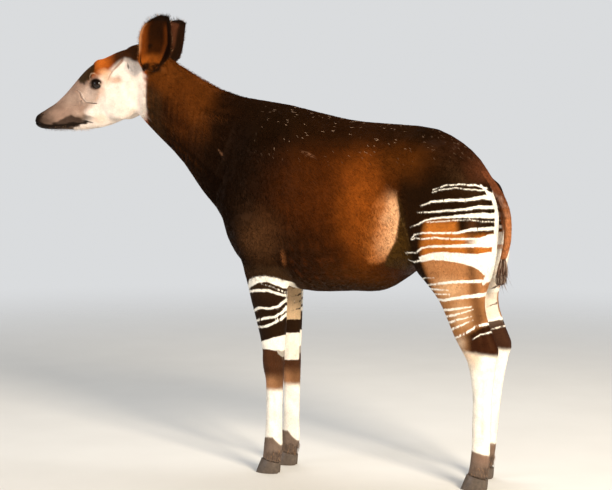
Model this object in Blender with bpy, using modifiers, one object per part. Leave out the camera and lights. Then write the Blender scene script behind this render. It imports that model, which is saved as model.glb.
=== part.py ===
"""A life-size okapi cow, standing still, as a museum would show it.

Metres, +Z up. The animal faces -X with its left side at -Y. The origin lies on the floor, under the
middle of the whole animal. The flesh is built whole from lofted parts, made one skin, shaped with
sculpting strokes, and then parted into head, neck, torso and legs by thin cuts.
"""

import math
import random
from collections import namedtuple

import bmesh
import bpy
import numpy as np
from mathutils import Matrix, Vector
from mathutils.bvhtree import BVHTree

# Driving heights above the floor
WITHERS = 1.512
CROUP = 1.418
BELLY = 0.750
CORONET = 0.053

# Driving places along the body and across it
FORELEG_Y = 0.088
HINDLEG_Y = 0.110
FAR_FORE_STEP = 0.010
FAR_HIND_STEP = -0.030

EYE_AT = Vector((-0.7195, 0.0640, 1.5845))
EYE_FACES = Vector((-0.26, 0.95, 0.14)).normalized()
EYE_RADIUS = 0.0215
EAR_ROOT = Vector((-0.462, 0.066, 1.648))
EAR_LENGTH = 0.229
EAR_WIDTH = 0.122
EAR_THICKNESS = 0.005

# How finely the flesh is made, and what is left between touching pieces
VOXEL = 0.0065
GAP = 0.00035
FLESH_TRIANGLES = 8400

REARWARD, ACROSS, UPWARD = Vector((1, 0, 0)), Vector((0, 1, 0)), Vector((0, 0, 1))
LEFT, RIGHT = -1, 1
SIDE_NAMES = {LEFT: "left", RIGHT: "right"}

Station = namedtuple("Station", "x y z half_width up down square", defaults=(2.0,))


def clear_scene():
    for obj in list(bpy.data.objects):
        bpy.data.objects.remove(obj)


def new_collection(name):
    made = bpy.data.collections.new(name)
    bpy.context.scene.collection.children.link(made)
    return made


def new_object(name, mesh, collection):
    obj = bpy.data.objects.new(name, mesh)
    collection.objects.link(obj)
    return obj


def mesh_of(bm, name):
    bmesh.ops.recalc_face_normals(bm, faces=bm.faces[:])
    mesh = bpy.data.meshes.new(name)
    bm.to_mesh(mesh)
    bm.free()
    return mesh


def smooth_rows(rows, steps):
    """The rows of numbers, joined by a Catmull-Rom curve with this many steps between each two."""
    rows = np.array(rows, float)
    padded = np.vstack([2 * rows[0] - rows[1], rows, 2 * rows[-1] - rows[-2]])
    curve = []
    for i in range(len(rows) - 1):
        before, start, end, after = padded[i : i + 4]
        for step in range(steps):
            t = step / steps
            curve.append(
                0.5
                * (
                    2 * start
                    + (end - before) * t
                    + (2 * before - 5 * start + 4 * end - after) * t * t
                    + (3 * start - before - 3 * end + after) * t**3
                )
            )
    curve.append(rows[-1])
    return np.array(curve)


def oval(centre, across, rise, half_width, up, down, square, sides):
    """The points of an oval section. Square is 2 for an ellipse, less for ridged, more for boxy."""
    points = []
    for k in range(sides):
        angle = 2 * math.pi * k / sides
        c, s = math.cos(angle), math.sin(angle)
        wide = math.copysign(abs(c) ** (2 / square), c) * half_width
        high = math.copysign(abs(s) ** (2 / square), s) * (up if s > 0 else down)
        points.append(centre + across * wide + rise * high)
    return points


def body_through(name, rings, collection):
    """A closed body through rings of the same number of points."""
    bm = bmesh.new()
    rings = [[bm.verts.new(point) for point in ring] for ring in rings]
    sides = len(rings[0])
    for first, second in zip(rings, rings[1:]):
        for k in range(sides):
            n = (k + 1) % sides
            bm.faces.new((first[k], first[n], second[n], second[k]))
    bm.faces.new(rings[0])
    bm.faces.new(rings[-1])
    return new_object(name, mesh_of(bm, name), collection)


def upright_body(name, stations, collection, sides=28, steps=5):
    """A body whose sections stand square to X, each with its centre and its reach up and down."""
    rings = []
    for x, y, z, half_width, up, down, square in smooth_rows(stations, steps):
        centre = Vector((x, y, z))
        rings.append(oval(centre, ACROSS, UPWARD, half_width, up, down, square, sides))
    return body_through(name, rings, collection)


def level_body(name, rows, collection, side=1, sides=20, steps=4, square=2.1):
    """A body whose sections lie level, each at its height, from its front to its rear edge."""
    rings = []
    for z, front, rear, half_width, y in smooth_rows(rows, steps):
        centre = Vector(((front + rear) / 2, y * side, z))
        reach = (rear - front) / 2
        rings.append(oval(centre, ACROSS, REARWARD, half_width, reach, reach, square, sides))
    return body_through(name, rings, collection)


def tube(name, rows, collection, sides=12, steps=4):
    """A round body along a path of centres, each row with its radius across the path and along Y."""
    curve = smooth_rows(rows, steps)
    rings = []
    for row, tangent in zip(curve, np.gradient(curve[:, :3], axis=0)):
        along = Vector(tangent).normalized()
        across = Vector((0, 1, 0)) if abs(along.y) < 0.8 else Vector((0, 0, 1))
        across = (across - along * across.dot(along)).normalized()
        rings.append(oval(Vector(row[:3]), across, along.cross(across), row[4], row[3], row[3], 2.0, sides))
    return body_through(name, rings, collection)


def bulge(name, at, radii, collection, turn_y=0.0, turn_z=0.0):
    """An ellipsoid, turned about Y and then about Z by these degrees."""
    bm = bmesh.new()
    bmesh.ops.create_uvsphere(bm, u_segments=20, v_segments=12, radius=1.0)
    place = (
        Matrix.Translation(at)
        @ Matrix.Rotation(math.radians(turn_z), 4, "Z")
        @ Matrix.Rotation(math.radians(turn_y), 4, "Y")
        @ Matrix.Diagonal((*radii, 1.0))
    )
    bmesh.ops.transform(bm, matrix=place, verts=bm.verts[:])
    return new_object(name, mesh_of(bm, name), collection)


def to_side(at, side):
    """The point with its Y on this side of the body."""
    return Vector((at[0], abs(at[1]) * side, at[2]))


def build_trunk(flesh):
    trunk = [
        # x, y, widest at z, half width, up, down, square
        Station(-0.170, 0, 1.08, 0.050, 0.070, 0.080),
        Station(-0.140, 0, 1.11, 0.105, 0.190, 0.185),
        Station(-0.090, 0, 1.13, 0.144, 0.330, 0.275),
        Station(0.013, 0, 1.13, 0.172, WITHERS - 1.130, 0.352, 1.9),
        Station(0.120, 0, 1.10, 0.194, 0.400, 0.345, 1.95),
        Station(0.240, 0, 1.06, 0.218, 0.410, 0.318, 2.05),
        Station(0.390, 0, 1.04, 0.238, 0.398, 1.04 - BELLY, 2.1),
        Station(0.520, 0, 1.05, 0.234, 0.378, 0.292, 2.1),
        Station(0.630, 0, 1.09, 0.208, CROUP - 1.088, 0.268, 2.05),
        Station(0.730, 0, 1.14, 0.186, 0.268, 0.235, 2.0),
        Station(0.830, 0, 1.15, 0.160, 0.206, 0.190, 2.0),
        Station(0.910, 0, 1.13, 0.118, 0.152, 0.150, 2.0),
        Station(0.960, 0, 1.11, 0.060, 0.090, 0.080, 2.0),
    ]
    upright_body("trunk", trunk, flesh, sides=36)
    for side in SIDE_NAMES:
        bulge("blade", to_side((0.000, 0.080, 1.270), side), (0.092, 0.078, 0.190), flesh, turn_y=16)
        bulge("shoulder", to_side((-0.070, 0.082, 1.085), side), (0.085, 0.072, 0.115), flesh, turn_y=-20)
        bulge("upper_arm", to_side((0.030, 0.100, 1.040), side), (0.125, 0.080, 0.125), flesh, turn_y=28)
        bulge("haunch", to_side((0.760, 0.094, 1.170), side), (0.170, 0.104, 0.200), flesh, turn_y=-24)
        bulge("hip", to_side((0.640, 0.090, 1.290), side), (0.105, 0.072, 0.095), flesh, turn_y=20)
        bulge("buttock", to_side((0.912, 0.064, 1.060), side), (0.095, 0.064, 0.165), flesh, turn_y=-4)


def build_neck(flesh):
    neck = [
        # x, y, z, reach up and down the neck's own depth, half width
        (0.080, 0, 1.190, 0.310, 0.130),
        (-0.040, 0, 1.266, 0.272, 0.126),
        (-0.145, 0, 1.328, 0.232, 0.108),
        (-0.262, 0, 1.407, 0.180, 0.087),
        (-0.377, 0, 1.490, 0.158, 0.076),
        (-0.478, 0, 1.570, 0.140, 0.073),
        (-0.545, 0, 1.612, 0.110, 0.070),
    ]
    tube("neck", neck, flesh, sides=32, steps=5)


def build_head(flesh):
    head = [
        # x, widest at z, top, bottom, half width, square
        (-1.047, 1.428, 1.449, 1.410, 0.018, 2.2),
        (-1.034, 1.430, 1.459, 1.399, 0.030, 2.3),
        (-1.005, 1.436, 1.472, 1.393, 0.040, 2.4),
        (-0.970, 1.444, 1.492, 1.392, 0.043, 2.4),
        (-0.945, 1.452, 1.507, 1.392, 0.043, 2.3),
        (-0.896, 1.470, 1.550, 1.391, 0.045, 2.15),
        (-0.848, 1.500, 1.600, 1.390, 0.051, 2.1),
        (-0.800, 1.540, 1.646, 1.392, 0.061, 2.1),
        (-0.750, 1.574, 1.678, 1.398, 0.070, 2.2),
        (-0.700, 1.590, 1.699, 1.409, 0.074, 2.2),
        (-0.650, 1.597, 1.720, 1.428, 0.075, 2.2),
        (-0.600, 1.604, 1.733, 1.452, 0.073, 2.1),
        (-0.550, 1.612, 1.735, 1.478, 0.071, 2.0),
        (-0.500, 1.612, 1.718, 1.500, 0.068, 2.0),
        (-0.450, 1.600, 1.690, 1.520, 0.060, 2.0),
    ]
    stations = [Station(x, 0, z, width, top - z, z - low, square) for x, z, top, low, width, square in head]
    upright_body("head", stations, flesh, sides=32)
    for side in SIDE_NAMES:
        bulge("orbit", to_side((-0.712, 0.050, 1.602), side), (0.060, 0.034, 0.048), flesh, turn_y=26)
        bulge("brow", to_side((-0.695, 0.040, 1.648), side), (0.062, 0.032, 0.036), flesh, turn_y=24)
        bulge("cheek", to_side((-0.645, 0.040, 1.515), side), (0.095, 0.034, 0.080), flesh, turn_y=24)
        bulge("nostril_wing", to_side((-0.995, 0.024, 1.450), side), (0.034, 0.018, 0.018), flesh, turn_y=-32)
        bulge("ear_root", to_side((-0.470, 0.056, 1.664), side), (0.044, 0.034, 0.050), flesh, turn_y=20)
        bulge("before_the_ear", to_side((-0.549, 0.044, 1.695), side), (0.078, 0.034, 0.053), flesh, turn_y=-16)


def foreleg_rows(step):
    y = FORELEG_Y
    return [
        # height, front, rear, half width, y
        (1.100, -0.110, 0.140, 0.060, y + 0.012),
        (1.000, -0.110, 0.146, 0.068, y + 0.018),
        (0.950, -0.096, 0.142, 0.066, y + 0.018),
        (0.910, -0.080, 0.143, 0.063, y + 0.016),
        (0.862, -0.058, 0.146, 0.060, y + 0.013),
        (0.791, -0.039, 0.139, 0.054, y + 0.009),
        (0.704, -0.020, 0.137, 0.047, y + 0.004),
        (0.603, 0.005 + step * 0.3, 0.132 + step * 0.3, 0.040, y),
        (0.522, 0.024 + step * 0.5, 0.127 + step * 0.5, 0.036, y),
        (0.481, 0.028 + step * 0.6, 0.123 + step * 0.6, 0.038, y),
        (0.445, 0.030 + step * 0.7, 0.122 + step * 0.7, 0.038, y),
        (0.408, 0.036 + step * 0.8, 0.121 + step * 0.8, 0.034, y),
        (0.360, 0.040 + step, 0.118 + step, 0.028, y),
        (0.255, 0.040 + step, 0.115 + step, 0.025, y),
        (0.172, 0.037 + step, 0.114 + step, 0.027, y),
        (0.112, 0.031 + step, 0.115 + step, 0.033, y),
        (0.078, 0.029 + step, 0.108 + step, 0.031, y),
        (0.052, 0.021 + step, 0.102 + step, 0.034, y),
        (0.030, 0.014 + step, 0.099 + step, 0.035, y),
    ]


def hindleg_rows(step):
    y = HINDLEG_Y
    return [
        (1.200, 0.660, 0.970, 0.078, y - 0.018),
        (1.100, 0.630, 0.998, 0.086, y - 0.012),
        (1.000, 0.622, 1.008, 0.088, y - 0.006),
        (0.940, 0.638, 1.010, 0.084, y - 0.002),
        (0.895, 0.658, 1.006, 0.078, y),
        (0.833, 0.697, 0.988, 0.067, y),
        (0.790, 0.732, 0.972, 0.060, y),
        (0.742, 0.770, 0.960, 0.051, y),
        (0.690, 0.796, 0.966, 0.044, y),
        (0.646, 0.814, 0.981, 0.039, y),
        (0.595, 0.836, 1.001, 0.036, y),
        (0.561, 0.855, 1.016, 0.037, y),
        (0.540, 0.867, 1.018, 0.038, y),
        (0.505, 0.887 + step * 0.1, 1.010 + step * 0.1, 0.036, y),
        (0.470, 0.896 + step * 0.2, 1.005 + step * 0.2, 0.031, y),
        (0.430, 0.903 + step * 0.3, 1.000 + step * 0.3, 0.028, y),
        (0.360, 0.910 + step * 0.5, 0.994 + step * 0.5, 0.0255, y),
        (0.261, 0.909 + step * 0.8, 0.991 + step * 0.8, 0.025, y),
        (0.170, 0.908 + step * 0.9, 0.987 + step * 0.9, 0.027, y),
        (0.115, 0.904 + step, 0.984 + step, 0.033, y),
        (0.078, 0.899 + step, 0.978 + step, 0.031, y),
        (0.052, 0.889 + step, 0.975 + step, 0.034, y),
        (0.030, 0.882 + step, 0.973 + step, 0.035, y),
    ]


LEGS = {
    "foreleg_left": (LEFT, 0.0, foreleg_rows),
    "foreleg_right": (RIGHT, FAR_FORE_STEP, foreleg_rows),
    "hindleg_left": (LEFT, 0.0, hindleg_rows),
    "hindleg_right": (RIGHT, FAR_HIND_STEP, hindleg_rows),
}


def build_legs(flesh):
    for name, (side, step, rows) in LEGS.items():
        level_body(name + "_flesh", rows(step), flesh, side=side)


# Sculpting strokes, drawn on one side and made on both. Each has its path, its reach and how far it
# moves the skin, outward if above 0.
STROKES = {
    "behind the blade": ([(0.120, 0.15, 1.34), (0.135, 0.17, 1.18), (0.150, 0.17, 1.04)], 0.110, -0.009),
    "before the blade": ([(-0.110, 0.11, 1.38), (-0.150, 0.12, 1.28), (-0.175, 0.09, 1.18)], 0.090, -0.008),
    "flank hollow": ([(0.560, 0.20, 1.22), (0.590, 0.21, 1.12), (0.610, 0.20, 1.00)], 0.120, -0.015),
    "flank fold": ([(0.580, 0.18, 0.93), (0.630, 0.16, 0.87), (0.680, 0.14, 0.84)], 0.050, 0.009),
    "thigh seam": ([(0.930, 0.14, 1.16), (0.915, 0.16, 1.02), (0.905, 0.14, 0.88)], 0.050, -0.005),
    "back of the upper arm": ([(0.140, 0.16, 1.02), (0.135, 0.15, 0.92), (0.125, 0.13, 0.87)], 0.045, 0.006),
    "under the elbow": ([(0.150, 0.12, 0.865), (0.085, 0.14, 0.865)], 0.030, -0.005),
    "between the buttocks": ([(0.975, 0.0, 1.17), (1.015, 0.0, 1.06), (1.000, 0.0, 0.94)], 0.045, -0.026),
    "hollow of the gaskin": ([(0.938, 0.15, 0.70), (0.962, 0.15, 0.62)], 0.030, -0.009),
    "before the eye": ([(-0.800, 0.06, 1.580), (-0.770, 0.07, 1.560)], 0.034, -0.004),
    "below the eye": ([(-0.770, 0.08, 1.545), (-0.720, 0.09, 1.535)], 0.032, -0.004),
    "behind the jaw": ([(-0.535, 0.08, 1.620), (-0.538, 0.08, 1.560), (-0.555, 0.06, 1.500)], 0.038, -0.005),
    "windpipe": ([(-0.500, 0.06, 1.450), (-0.330, 0.08, 1.290), (-0.240, 0.09, 1.190)], 0.060, -0.005),
}


def along_path(points, path):
    """Each point's distance from a path of straight lengths."""
    nearest = np.full(len(points), np.inf)
    for start, end in zip(path, path[1:]):
        start, way = np.array(start), np.array(end) - np.array(start)
        share = np.clip(((points - start) @ way) / (way @ way), 0, 1)
        nearest = np.minimum(nearest, np.linalg.norm(points - start - share[:, None] * way, axis=1))
    return nearest


def sculpt(mesh):
    count = len(mesh.vertices)
    points, normals = np.empty(count * 3), np.empty(count * 3)
    mesh.vertices.foreach_get("co", points)
    mesh.vertex_normals.foreach_get("vector", normals)
    points, normals = points.reshape(-1, 3), normals.reshape(-1, 3)
    one_side = points * (1, 0, 1) + np.abs(points) * (0, 1, 0)
    move = np.zeros(count)
    for path, reach, depth in STROKES.values():
        near = np.clip(1 - along_path(one_side, path) / reach, 0, 1)
        move += depth * near * near * (3 - 2 * near)
    mesh.vertices.foreach_set("co", (points + normals * move[:, None]).ravel())
    mesh.update()


def evaluated_mesh(obj):
    bpy.context.view_layer.update()
    graph = bpy.context.evaluated_depsgraph_get()
    return bpy.data.meshes.new_from_object(obj.evaluated_get(graph))


def apply_modifiers(obj):
    mesh = evaluated_mesh(obj)
    obj.modifiers.clear()
    obj.data = mesh


def remove_all(collection):
    for obj in list(collection.objects):
        bpy.data.objects.remove(obj)
    bpy.data.collections.remove(collection)


def joined(name, collection, target):
    """One object with the meshes of all the collection's objects, which are then removed."""
    bm = bmesh.new()
    for obj in collection.objects:
        bm.from_mesh(obj.data)
    mesh = bpy.data.meshes.new(name)
    bm.to_mesh(mesh)
    bm.free()
    remove_all(collection)
    return new_object(name, mesh, target)


def softness(point):
    """How much the joined parts are blended here: most on the trunk, least on the head and feet."""
    trunk = min(1.0, max(0.0, (point.z - 0.84) / 0.14))
    rear = min(1.0, max(0.0, (point.x + 0.50) / 0.10))
    return trunk * rear


def blend_parts(body, times, masked=False):
    blend = body.modifiers.new("blend the parts", "SMOOTH")
    blend.factor = 0.5
    blend.iterations = times
    if masked:
        group = body.vertex_groups.new(name="soft")
        for vert in body.data.vertices:
            group.add([vert.index], softness(vert.co), "REPLACE")
        blend.vertex_group = group.name
    apply_modifiers(body)
    body.vertex_groups.clear()


def one_skin(collection, target):
    """The flesh as one smooth closed skin."""
    body = joined("flesh", collection, target)
    remesh = body.modifiers.new("one skin", "REMESH")
    remesh.mode = "VOXEL"
    remesh.voxel_size = VOXEL
    apply_modifiers(body)
    blend_parts(body, 110, masked=True)
    blend_parts(body, 12)
    sculpt(body.data)
    blend_parts(body, 5)
    return body


def cutter(name, corners, faces, collection):
    """A sheet of these faces, as thick as the gap, that parts the flesh it passes through."""
    bm = bmesh.new()
    verts = [bm.verts.new(corner) for corner in corners]
    for face in faces:
        bm.faces.new([verts[i] for i in face])
    sheet = new_object(name, mesh_of(bm, name), collection)
    thick = sheet.modifiers.new("as thick as the gap", "SOLIDIFY")
    thick.thickness = GAP
    thick.use_even_offset = True
    apply_modifiers(sheet)
    sheet.hide_render = True
    sheet.display_type = "WIRE"
    return sheet


def plane_cutter(name, centre, along, reach, half_width, collection):
    """A flat sheet right across the body, running along this way up and down."""
    centre, rise = Vector(centre), Vector(along).normalized() * reach
    ways = ((-1, -1), (-1, 1), (1, 1), (1, -1))
    corners = [centre + rise * up + ACROSS * half_width * out for up, out in ways]
    return cutter(name, corners, [(0, 1, 2, 3)], collection)


def leg_cutter(name, side, front, rear, inner, outer, collection):
    """A roof over the leg that slopes up from inner to outer, with walls before, behind and within."""
    corners = []
    for height in (None, inner[1] - 0.15):
        for x, (y, z) in ((front, inner), (rear, inner), (rear, outer), (front, outer)):
            corners.append((x, y * side, z if height is None else height))
    faces = [(0, 1, 2, 3), (0, 1, 5, 4), (1, 2, 6, 5), (3, 0, 4, 7)]
    return cutter(name, corners, faces, collection)


def build_cutters(cutters):
    plane_cutter("neck_from_head", (-0.500, 0, 1.590), (0.30, 0, 1.0), 0.22, 0.25, cutters)
    plane_cutter("torso_from_neck", (-0.135, 0, 1.330), (0.22, 0, 1.0), 0.35, 0.30, cutters)
    for side, word in SIDE_NAMES.items():
        leg_cutter(f"torso_from_foreleg_{word}", side, -0.30, 0.140, (0.030, 0.775), (0.230, 0.945), cutters)
        leg_cutter(f"torso_from_hindleg_{word}", side, 0.600, 1.100, (0.010, 0.775), (0.260, 0.890), cutters)


def boolean(obj, other, operation):
    """Fuses or cuts by one object or a collection of them, with the second solver if the first fails."""
    for solver in ("EXACT", "MANIFOLD"):
        modifier = obj.modifiers.new(operation.lower(), "BOOLEAN")
        modifier.operation = operation
        modifier.solver = solver
        if isinstance(other, bpy.types.Collection):
            modifier.operand_type = "COLLECTION"
            modifier.collection = other
        else:
            modifier.object = other
        result = evaluated_mesh(obj)
        obj.modifiers.clear()
        if closed_volume(result) > 0.5 * closed_volume(obj.data):
            break
    obj.data = result


def closed_volume(mesh):
    """The volume of a closed mesh, or 0 where it has an open edge or no faces."""
    bm = bmesh.new()
    bm.from_mesh(mesh)
    whole = len(bm.faces) > 0 and all(len(edge.link_faces) == 2 for edge in bm.edges)
    volume = abs(bm.calc_volume()) if whole else 0.0
    bm.free()
    return volume


def loose_parts(mesh):
    """The mesh's separate closed surfaces, each as a new mesh, largest first."""
    bm = bmesh.new()
    bm.from_mesh(mesh)
    seen, groups = set(), []
    for start in bm.verts:
        if start in seen:
            continue
        group, waiting = [], [start]
        seen.add(start)
        while waiting:
            vert = waiting.pop()
            group.append(vert)
            for edge in vert.link_edges:
                other = edge.other_vert(vert)
                if other not in seen:
                    seen.add(other)
                    waiting.append(other)
        groups.append({vert.index for vert in group})
    bm.free()
    parts = []
    for group in sorted(groups, key=len, reverse=True):
        part = bmesh.new()
        part.from_mesh(mesh)
        part.verts.ensure_lookup_table()
        away = [vert for vert in part.verts if vert.index not in group]
        bmesh.ops.delete(part, geom=away, context="VERTS")
        parts.append(mesh_of(part, "part"))
    return parts


def keep_largest(obj):
    obj.data = loose_parts(obj.data)[0]


def middle(mesh):
    points = np.array([vert.co for vert in mesh.vertices])
    return Vector((points.min(0) + points.max(0)) / 2)


PART_MIDDLES = {
    "head": (-0.77, 0.0, 1.56),
    "neck": (-0.33, 0.0, 1.37),
    "torso": (0.43, 0.0, 1.10),
    "foreleg_left": (0.07, -0.10, 0.48),
    "foreleg_right": (0.08, 0.10, 0.48),
    "hindleg_left": (0.87, -0.11, 0.60),
    "hindleg_right": (0.87, 0.11, 0.60),
}


def part_flesh(body, target):
    """Cuts the skin apart and names each part by where its middle lies."""
    cutters = new_collection("cutters")
    build_cutters(cutters)
    for sheet in list(cutters.objects):
        boolean(body, sheet, "DIFFERENCE")
    found = loose_parts(body.data)[: len(PART_MIDDLES)]
    nodes = {}
    for name, place in PART_MIDDLES.items():
        nearest = min(found, key=lambda mesh: (middle(mesh) - Vector(place)).length)
        found.remove(nearest)
        nodes[name] = new_object(name, nearest, target)
    bpy.data.objects.remove(body)
    remove_all(cutters)
    return nodes


def keep_share(point):
    """How freely faces may go here: 1 on the trunk, less where the form is finer."""
    head = min(1.0, max(0.0, (-0.42 - point.x) / 0.12))
    leg = min(1.0, max(0.0, (0.80 - point.z) / 0.15))
    return 1.0 - 0.42 * head - 0.16 * leg


def lighten(obj, triangles):
    """Brings the skin down to about this many triangles, with the finest ones on the head."""
    group = obj.vertex_groups.new(name="may go")
    for vert in obj.data.vertices:
        group.add([vert.index], keep_share(vert.co), "REPLACE")
    have = sum(len(face.vertices) - 2 for face in obj.data.polygons)
    fewer = obj.modifiers.new("fewer faces", "DECIMATE")
    fewer.ratio = min(1.0, triangles / have)
    fewer.use_collapse_triangulate = True
    fewer.vertex_group = group.name
    fewer.vertex_group_factor = 0.02
    apply_modifiers(obj)
    obj.vertex_groups.clear()


def grown(obj, name, collection, by=GAP):
    """A copy of the body, larger by the gap all over."""
    copy = new_object(name, obj.data.copy(), collection)
    swell = copy.modifiers.new("larger by the gap", "DISPLACE")
    swell.mid_level = 0.0
    swell.strength = by
    apply_modifiers(copy)
    copy.hide_render = True
    copy.display_type = "WIRE"
    return copy


def trim_against(obj, other):
    """Takes away what would reach into the other body, and leaves the gap."""
    cutters = new_collection("cutters")
    boolean(obj, grown(other, "larger", cutters), "DIFFERENCE")
    remove_all(cutters)
    keep_largest(obj)


def cut_beyond(obj, point, normal):
    """Takes away everything beyond the plane through the point, on the side the normal shows."""
    cutters = new_collection("cutters")
    bm = bmesh.new()
    bmesh.ops.create_cube(bm, size=0.6)
    turn = Vector(normal).to_track_quat("Z", "Y").to_matrix().to_4x4()
    place = Matrix.Translation(point) @ turn @ Matrix.Translation((0, 0, 0.3))
    bmesh.ops.transform(bm, matrix=place, verts=bm.verts[:])
    block = new_object("beyond", mesh_of(bm, "beyond"), cutters)
    block.hide_render = True
    boolean(obj, block, "DIFFERENCE")
    remove_all(cutters)
    keep_largest(obj)


EAR_OUTLINE = [
    # share of the length, rearward shift, half width, curl in degrees
    (0.00, -0.10, 0.47, 150),
    (0.08, -0.07, 0.60, 135),
    (0.18, 0.04, 0.83, 112),
    (0.32, 0.26, 1.05, 86),
    (0.48, 0.27, 1.11, 70),
    (0.64, 0.30, 1.09, 60),
    (0.78, 0.39, 0.97, 52),
    (0.88, 0.54, 0.79, 46),
    (0.95, 0.72, 0.57, 42),
    (1.00, 0.90, 0.34, 38),
]


def ear_sheet(side, along, facing, across_steps=8):
    """The cup of the ear as an open sheet that curls about its length."""
    along, facing = Vector(along).normalized(), Vector(facing)
    facing = (facing - along * facing.dot(along)).normalized()
    rearward = facing.cross(along) * side
    root = to_side(EAR_ROOT, side)
    bm = bmesh.new()
    rows = []
    for t, shift, half, curl in smooth_rows(EAR_OUTLINE, 2):
        curl = math.radians(curl)
        reach = half * EAR_WIDTH / 2
        radius = reach / (math.sin(curl) if curl < math.pi / 2 else 1.0)
        bow = 0.10 * EAR_LENGTH * math.sin(math.pi * t)
        centre = root + along * (EAR_LENGTH * t) - facing * bow + rearward * (shift * EAR_WIDTH / 2)
        row = []
        for k in range(across_steps):
            angle = curl * (2 * k / (across_steps - 1) - 1)
            point = centre + rearward * (radius * math.sin(angle)) + facing * (radius * (1 - math.cos(angle)))
            row.append(bm.verts.new(point))
        rows.append(row)
    for first, second in zip(rows, rows[1:]):
        for k in range(across_steps - 1):
            bm.faces.new((first[k], first[k + 1], second[k + 1]))
            bm.faces.new((first[k], second[k + 1], second[k]))
    return mesh_of(bm, "ear")


def build_ear(side, nodes, target):
    along = (0.12, 0.34 * side, 0.93) if side == LEFT else (0.02, 0.31 * side, 0.95)
    facing = (0.16, 0.97 * side, -0.12) if side == LEFT else (-0.93, 0.36 * side, 0.05)
    ear = new_object(f"ear_{SIDE_NAMES[side]}", ear_sheet(side, along, facing), target)
    thick = ear.modifiers.new("as thick as an ear", "SOLIDIFY")
    thick.thickness = EAR_THICKNESS
    thick.offset = 0.0
    apply_modifiers(ear)
    trim_against(ear, nodes["head"])
    trim_against(ear, nodes["neck"])
    return ear


def ball(name, centre, radius, collection):
    bm = bmesh.new()
    bmesh.ops.create_uvsphere(bm, u_segments=16, v_segments=10, radius=radius)
    turn = Vector((0, math.copysign(1, centre.y), 0)).to_track_quat("Z", "Y").to_matrix().to_4x4()
    bmesh.ops.transform(bm, matrix=Matrix.Translation(centre) @ turn, verts=bm.verts[:])
    return new_object(name, mesh_of(bm, name), collection)


def lid_ring(side, collection, steps=20, sides=6):
    """The rims of both lids, as one closed ring round the eye."""
    centre, out = to_side(EYE_AT, side), to_side(EYE_FACES, side)
    level = Vector((-1, 0, -0.16))
    level = (level - out * level.dot(out)).normalized()
    rise = out.cross(level)
    rise = rise if rise.z > 0 else -rise
    cover = EYE_RADIUS + 0.0006
    rings = []
    for k in range(steps):
        angle = 2 * math.pi * k / steps
        a, b = math.cos(angle), math.sin(angle)
        forward = a * 0.0212
        height = b * (0.0150 if b > 0 else 0.0125) * (1 - 0.25 * abs(a) ** 3)
        deep = math.sqrt(max(cover**2 - forward**2 - height**2, 0.0))
        at = centre + level * forward + rise * height + out * deep
        outward = (at - centre).normalized()
        along = (level * -b + rise * a).normalized()
        thick = 0.0034 if b > 0 else 0.0028
        rings.append(oval(at, outward, along.cross(outward).normalized(), thick, thick, thick, 2.0, sides))
    bm = bmesh.new()
    rings = [[bm.verts.new(point) for point in ring] for ring in rings]
    for i, ring in enumerate(rings):
        following = rings[(i + 1) % steps]
        for k in range(sides):
            n = (k + 1) % sides
            bm.faces.new((ring[k], ring[n], following[n], following[k]))
    return new_object("lids", mesh_of(bm, "lids"), collection)


def build_eyes(head, target):
    """Lids fused to the head, a socket in it, and the eyeball in the socket."""
    for side, word in SIDE_NAMES.items():
        tools = new_collection("tools")
        boolean(head, lid_ring(side, tools), "UNION")
        centre = to_side(EYE_AT, side)
        boolean(head, ball("socket", centre, EYE_RADIUS + GAP, tools), "DIFFERENCE")
        remove_all(tools)
        ball(f"eye_{word}", centre, EYE_RADIUS, target)
    keep_largest(head)


MOUTH_LINE = [
    # from the corner of the mouth to the middle of the muzzle
    (-0.842, 0.060, 1.450),
    (-0.872, 0.060, 1.442),
    (-0.905, 0.060, 1.431),
    (-0.945, 0.055, 1.419),
    (-0.985, 0.050, 1.411),
    (-1.018, 0.034, 1.416),
    (-1.042, 0.016, 1.424),
]


def cut_mouth(head):
    """A groove where the lips meet, from corner to corner round the muzzle."""
    bm = bmesh.new()
    bm.from_mesh(head.data)
    surface = BVHTree.FromBMesh(bm)
    bm.free()
    left = [to_side(point, LEFT) for point in MOUTH_LINE]
    right = [to_side(point, RIGHT) for point in reversed(MOUTH_LINE)]
    rows = []
    for point in left + [Vector((-1.060, 0, 1.427))] + right:
        near = surface.find_nearest(point)[0]
        rows.append((near.x, near.y, near.z, 0.0024, 0.0024))
    tools = new_collection("tools")
    groove = tube("mouth line", rows, tools, sides=6, steps=2)
    boolean(head, groove, "DIFFERENCE")
    for side in SIDE_NAMES:
        at = to_side((-0.982, 0.040, 1.4635), side)
        slit = bulge("nostril", at, (0.0165, 0.0075, 0.0052), tools, -32, 8 * side)
        boolean(head, slit, "DIFFERENCE")
    remove_all(tools)
    keep_largest(head)


TAIL = [
    # x, y, z, radius across the tail, radius along Y
    (0.846, 0, 1.256, 0.036, 0.046),
    (0.912, 0, 1.218, 0.030, 0.041),
    (0.968, 0, 1.160, 0.0245, 0.031),
    (1.006, 0, 1.098, 0.0185, 0.023),
    (1.019, 0, 1.041, 0.0165, 0.0200),
    (1.018, 0, 0.965, 0.0160, 0.0180),
    (1.007, 0, 0.915, 0.0150, 0.0160),
    (0.999, 0, 0.872, 0.0125, 0.0140),
]
TUFT_TOP = 0.897


def build_tail(torso, target):
    tail = tube("tail", TAIL, target, sides=12, steps=3)
    trim_against(tail, torso)
    cut_beyond(tail, Vector((1.0, 0, TUFT_TOP)), (0.15, 0, -1))
    return tail


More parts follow.
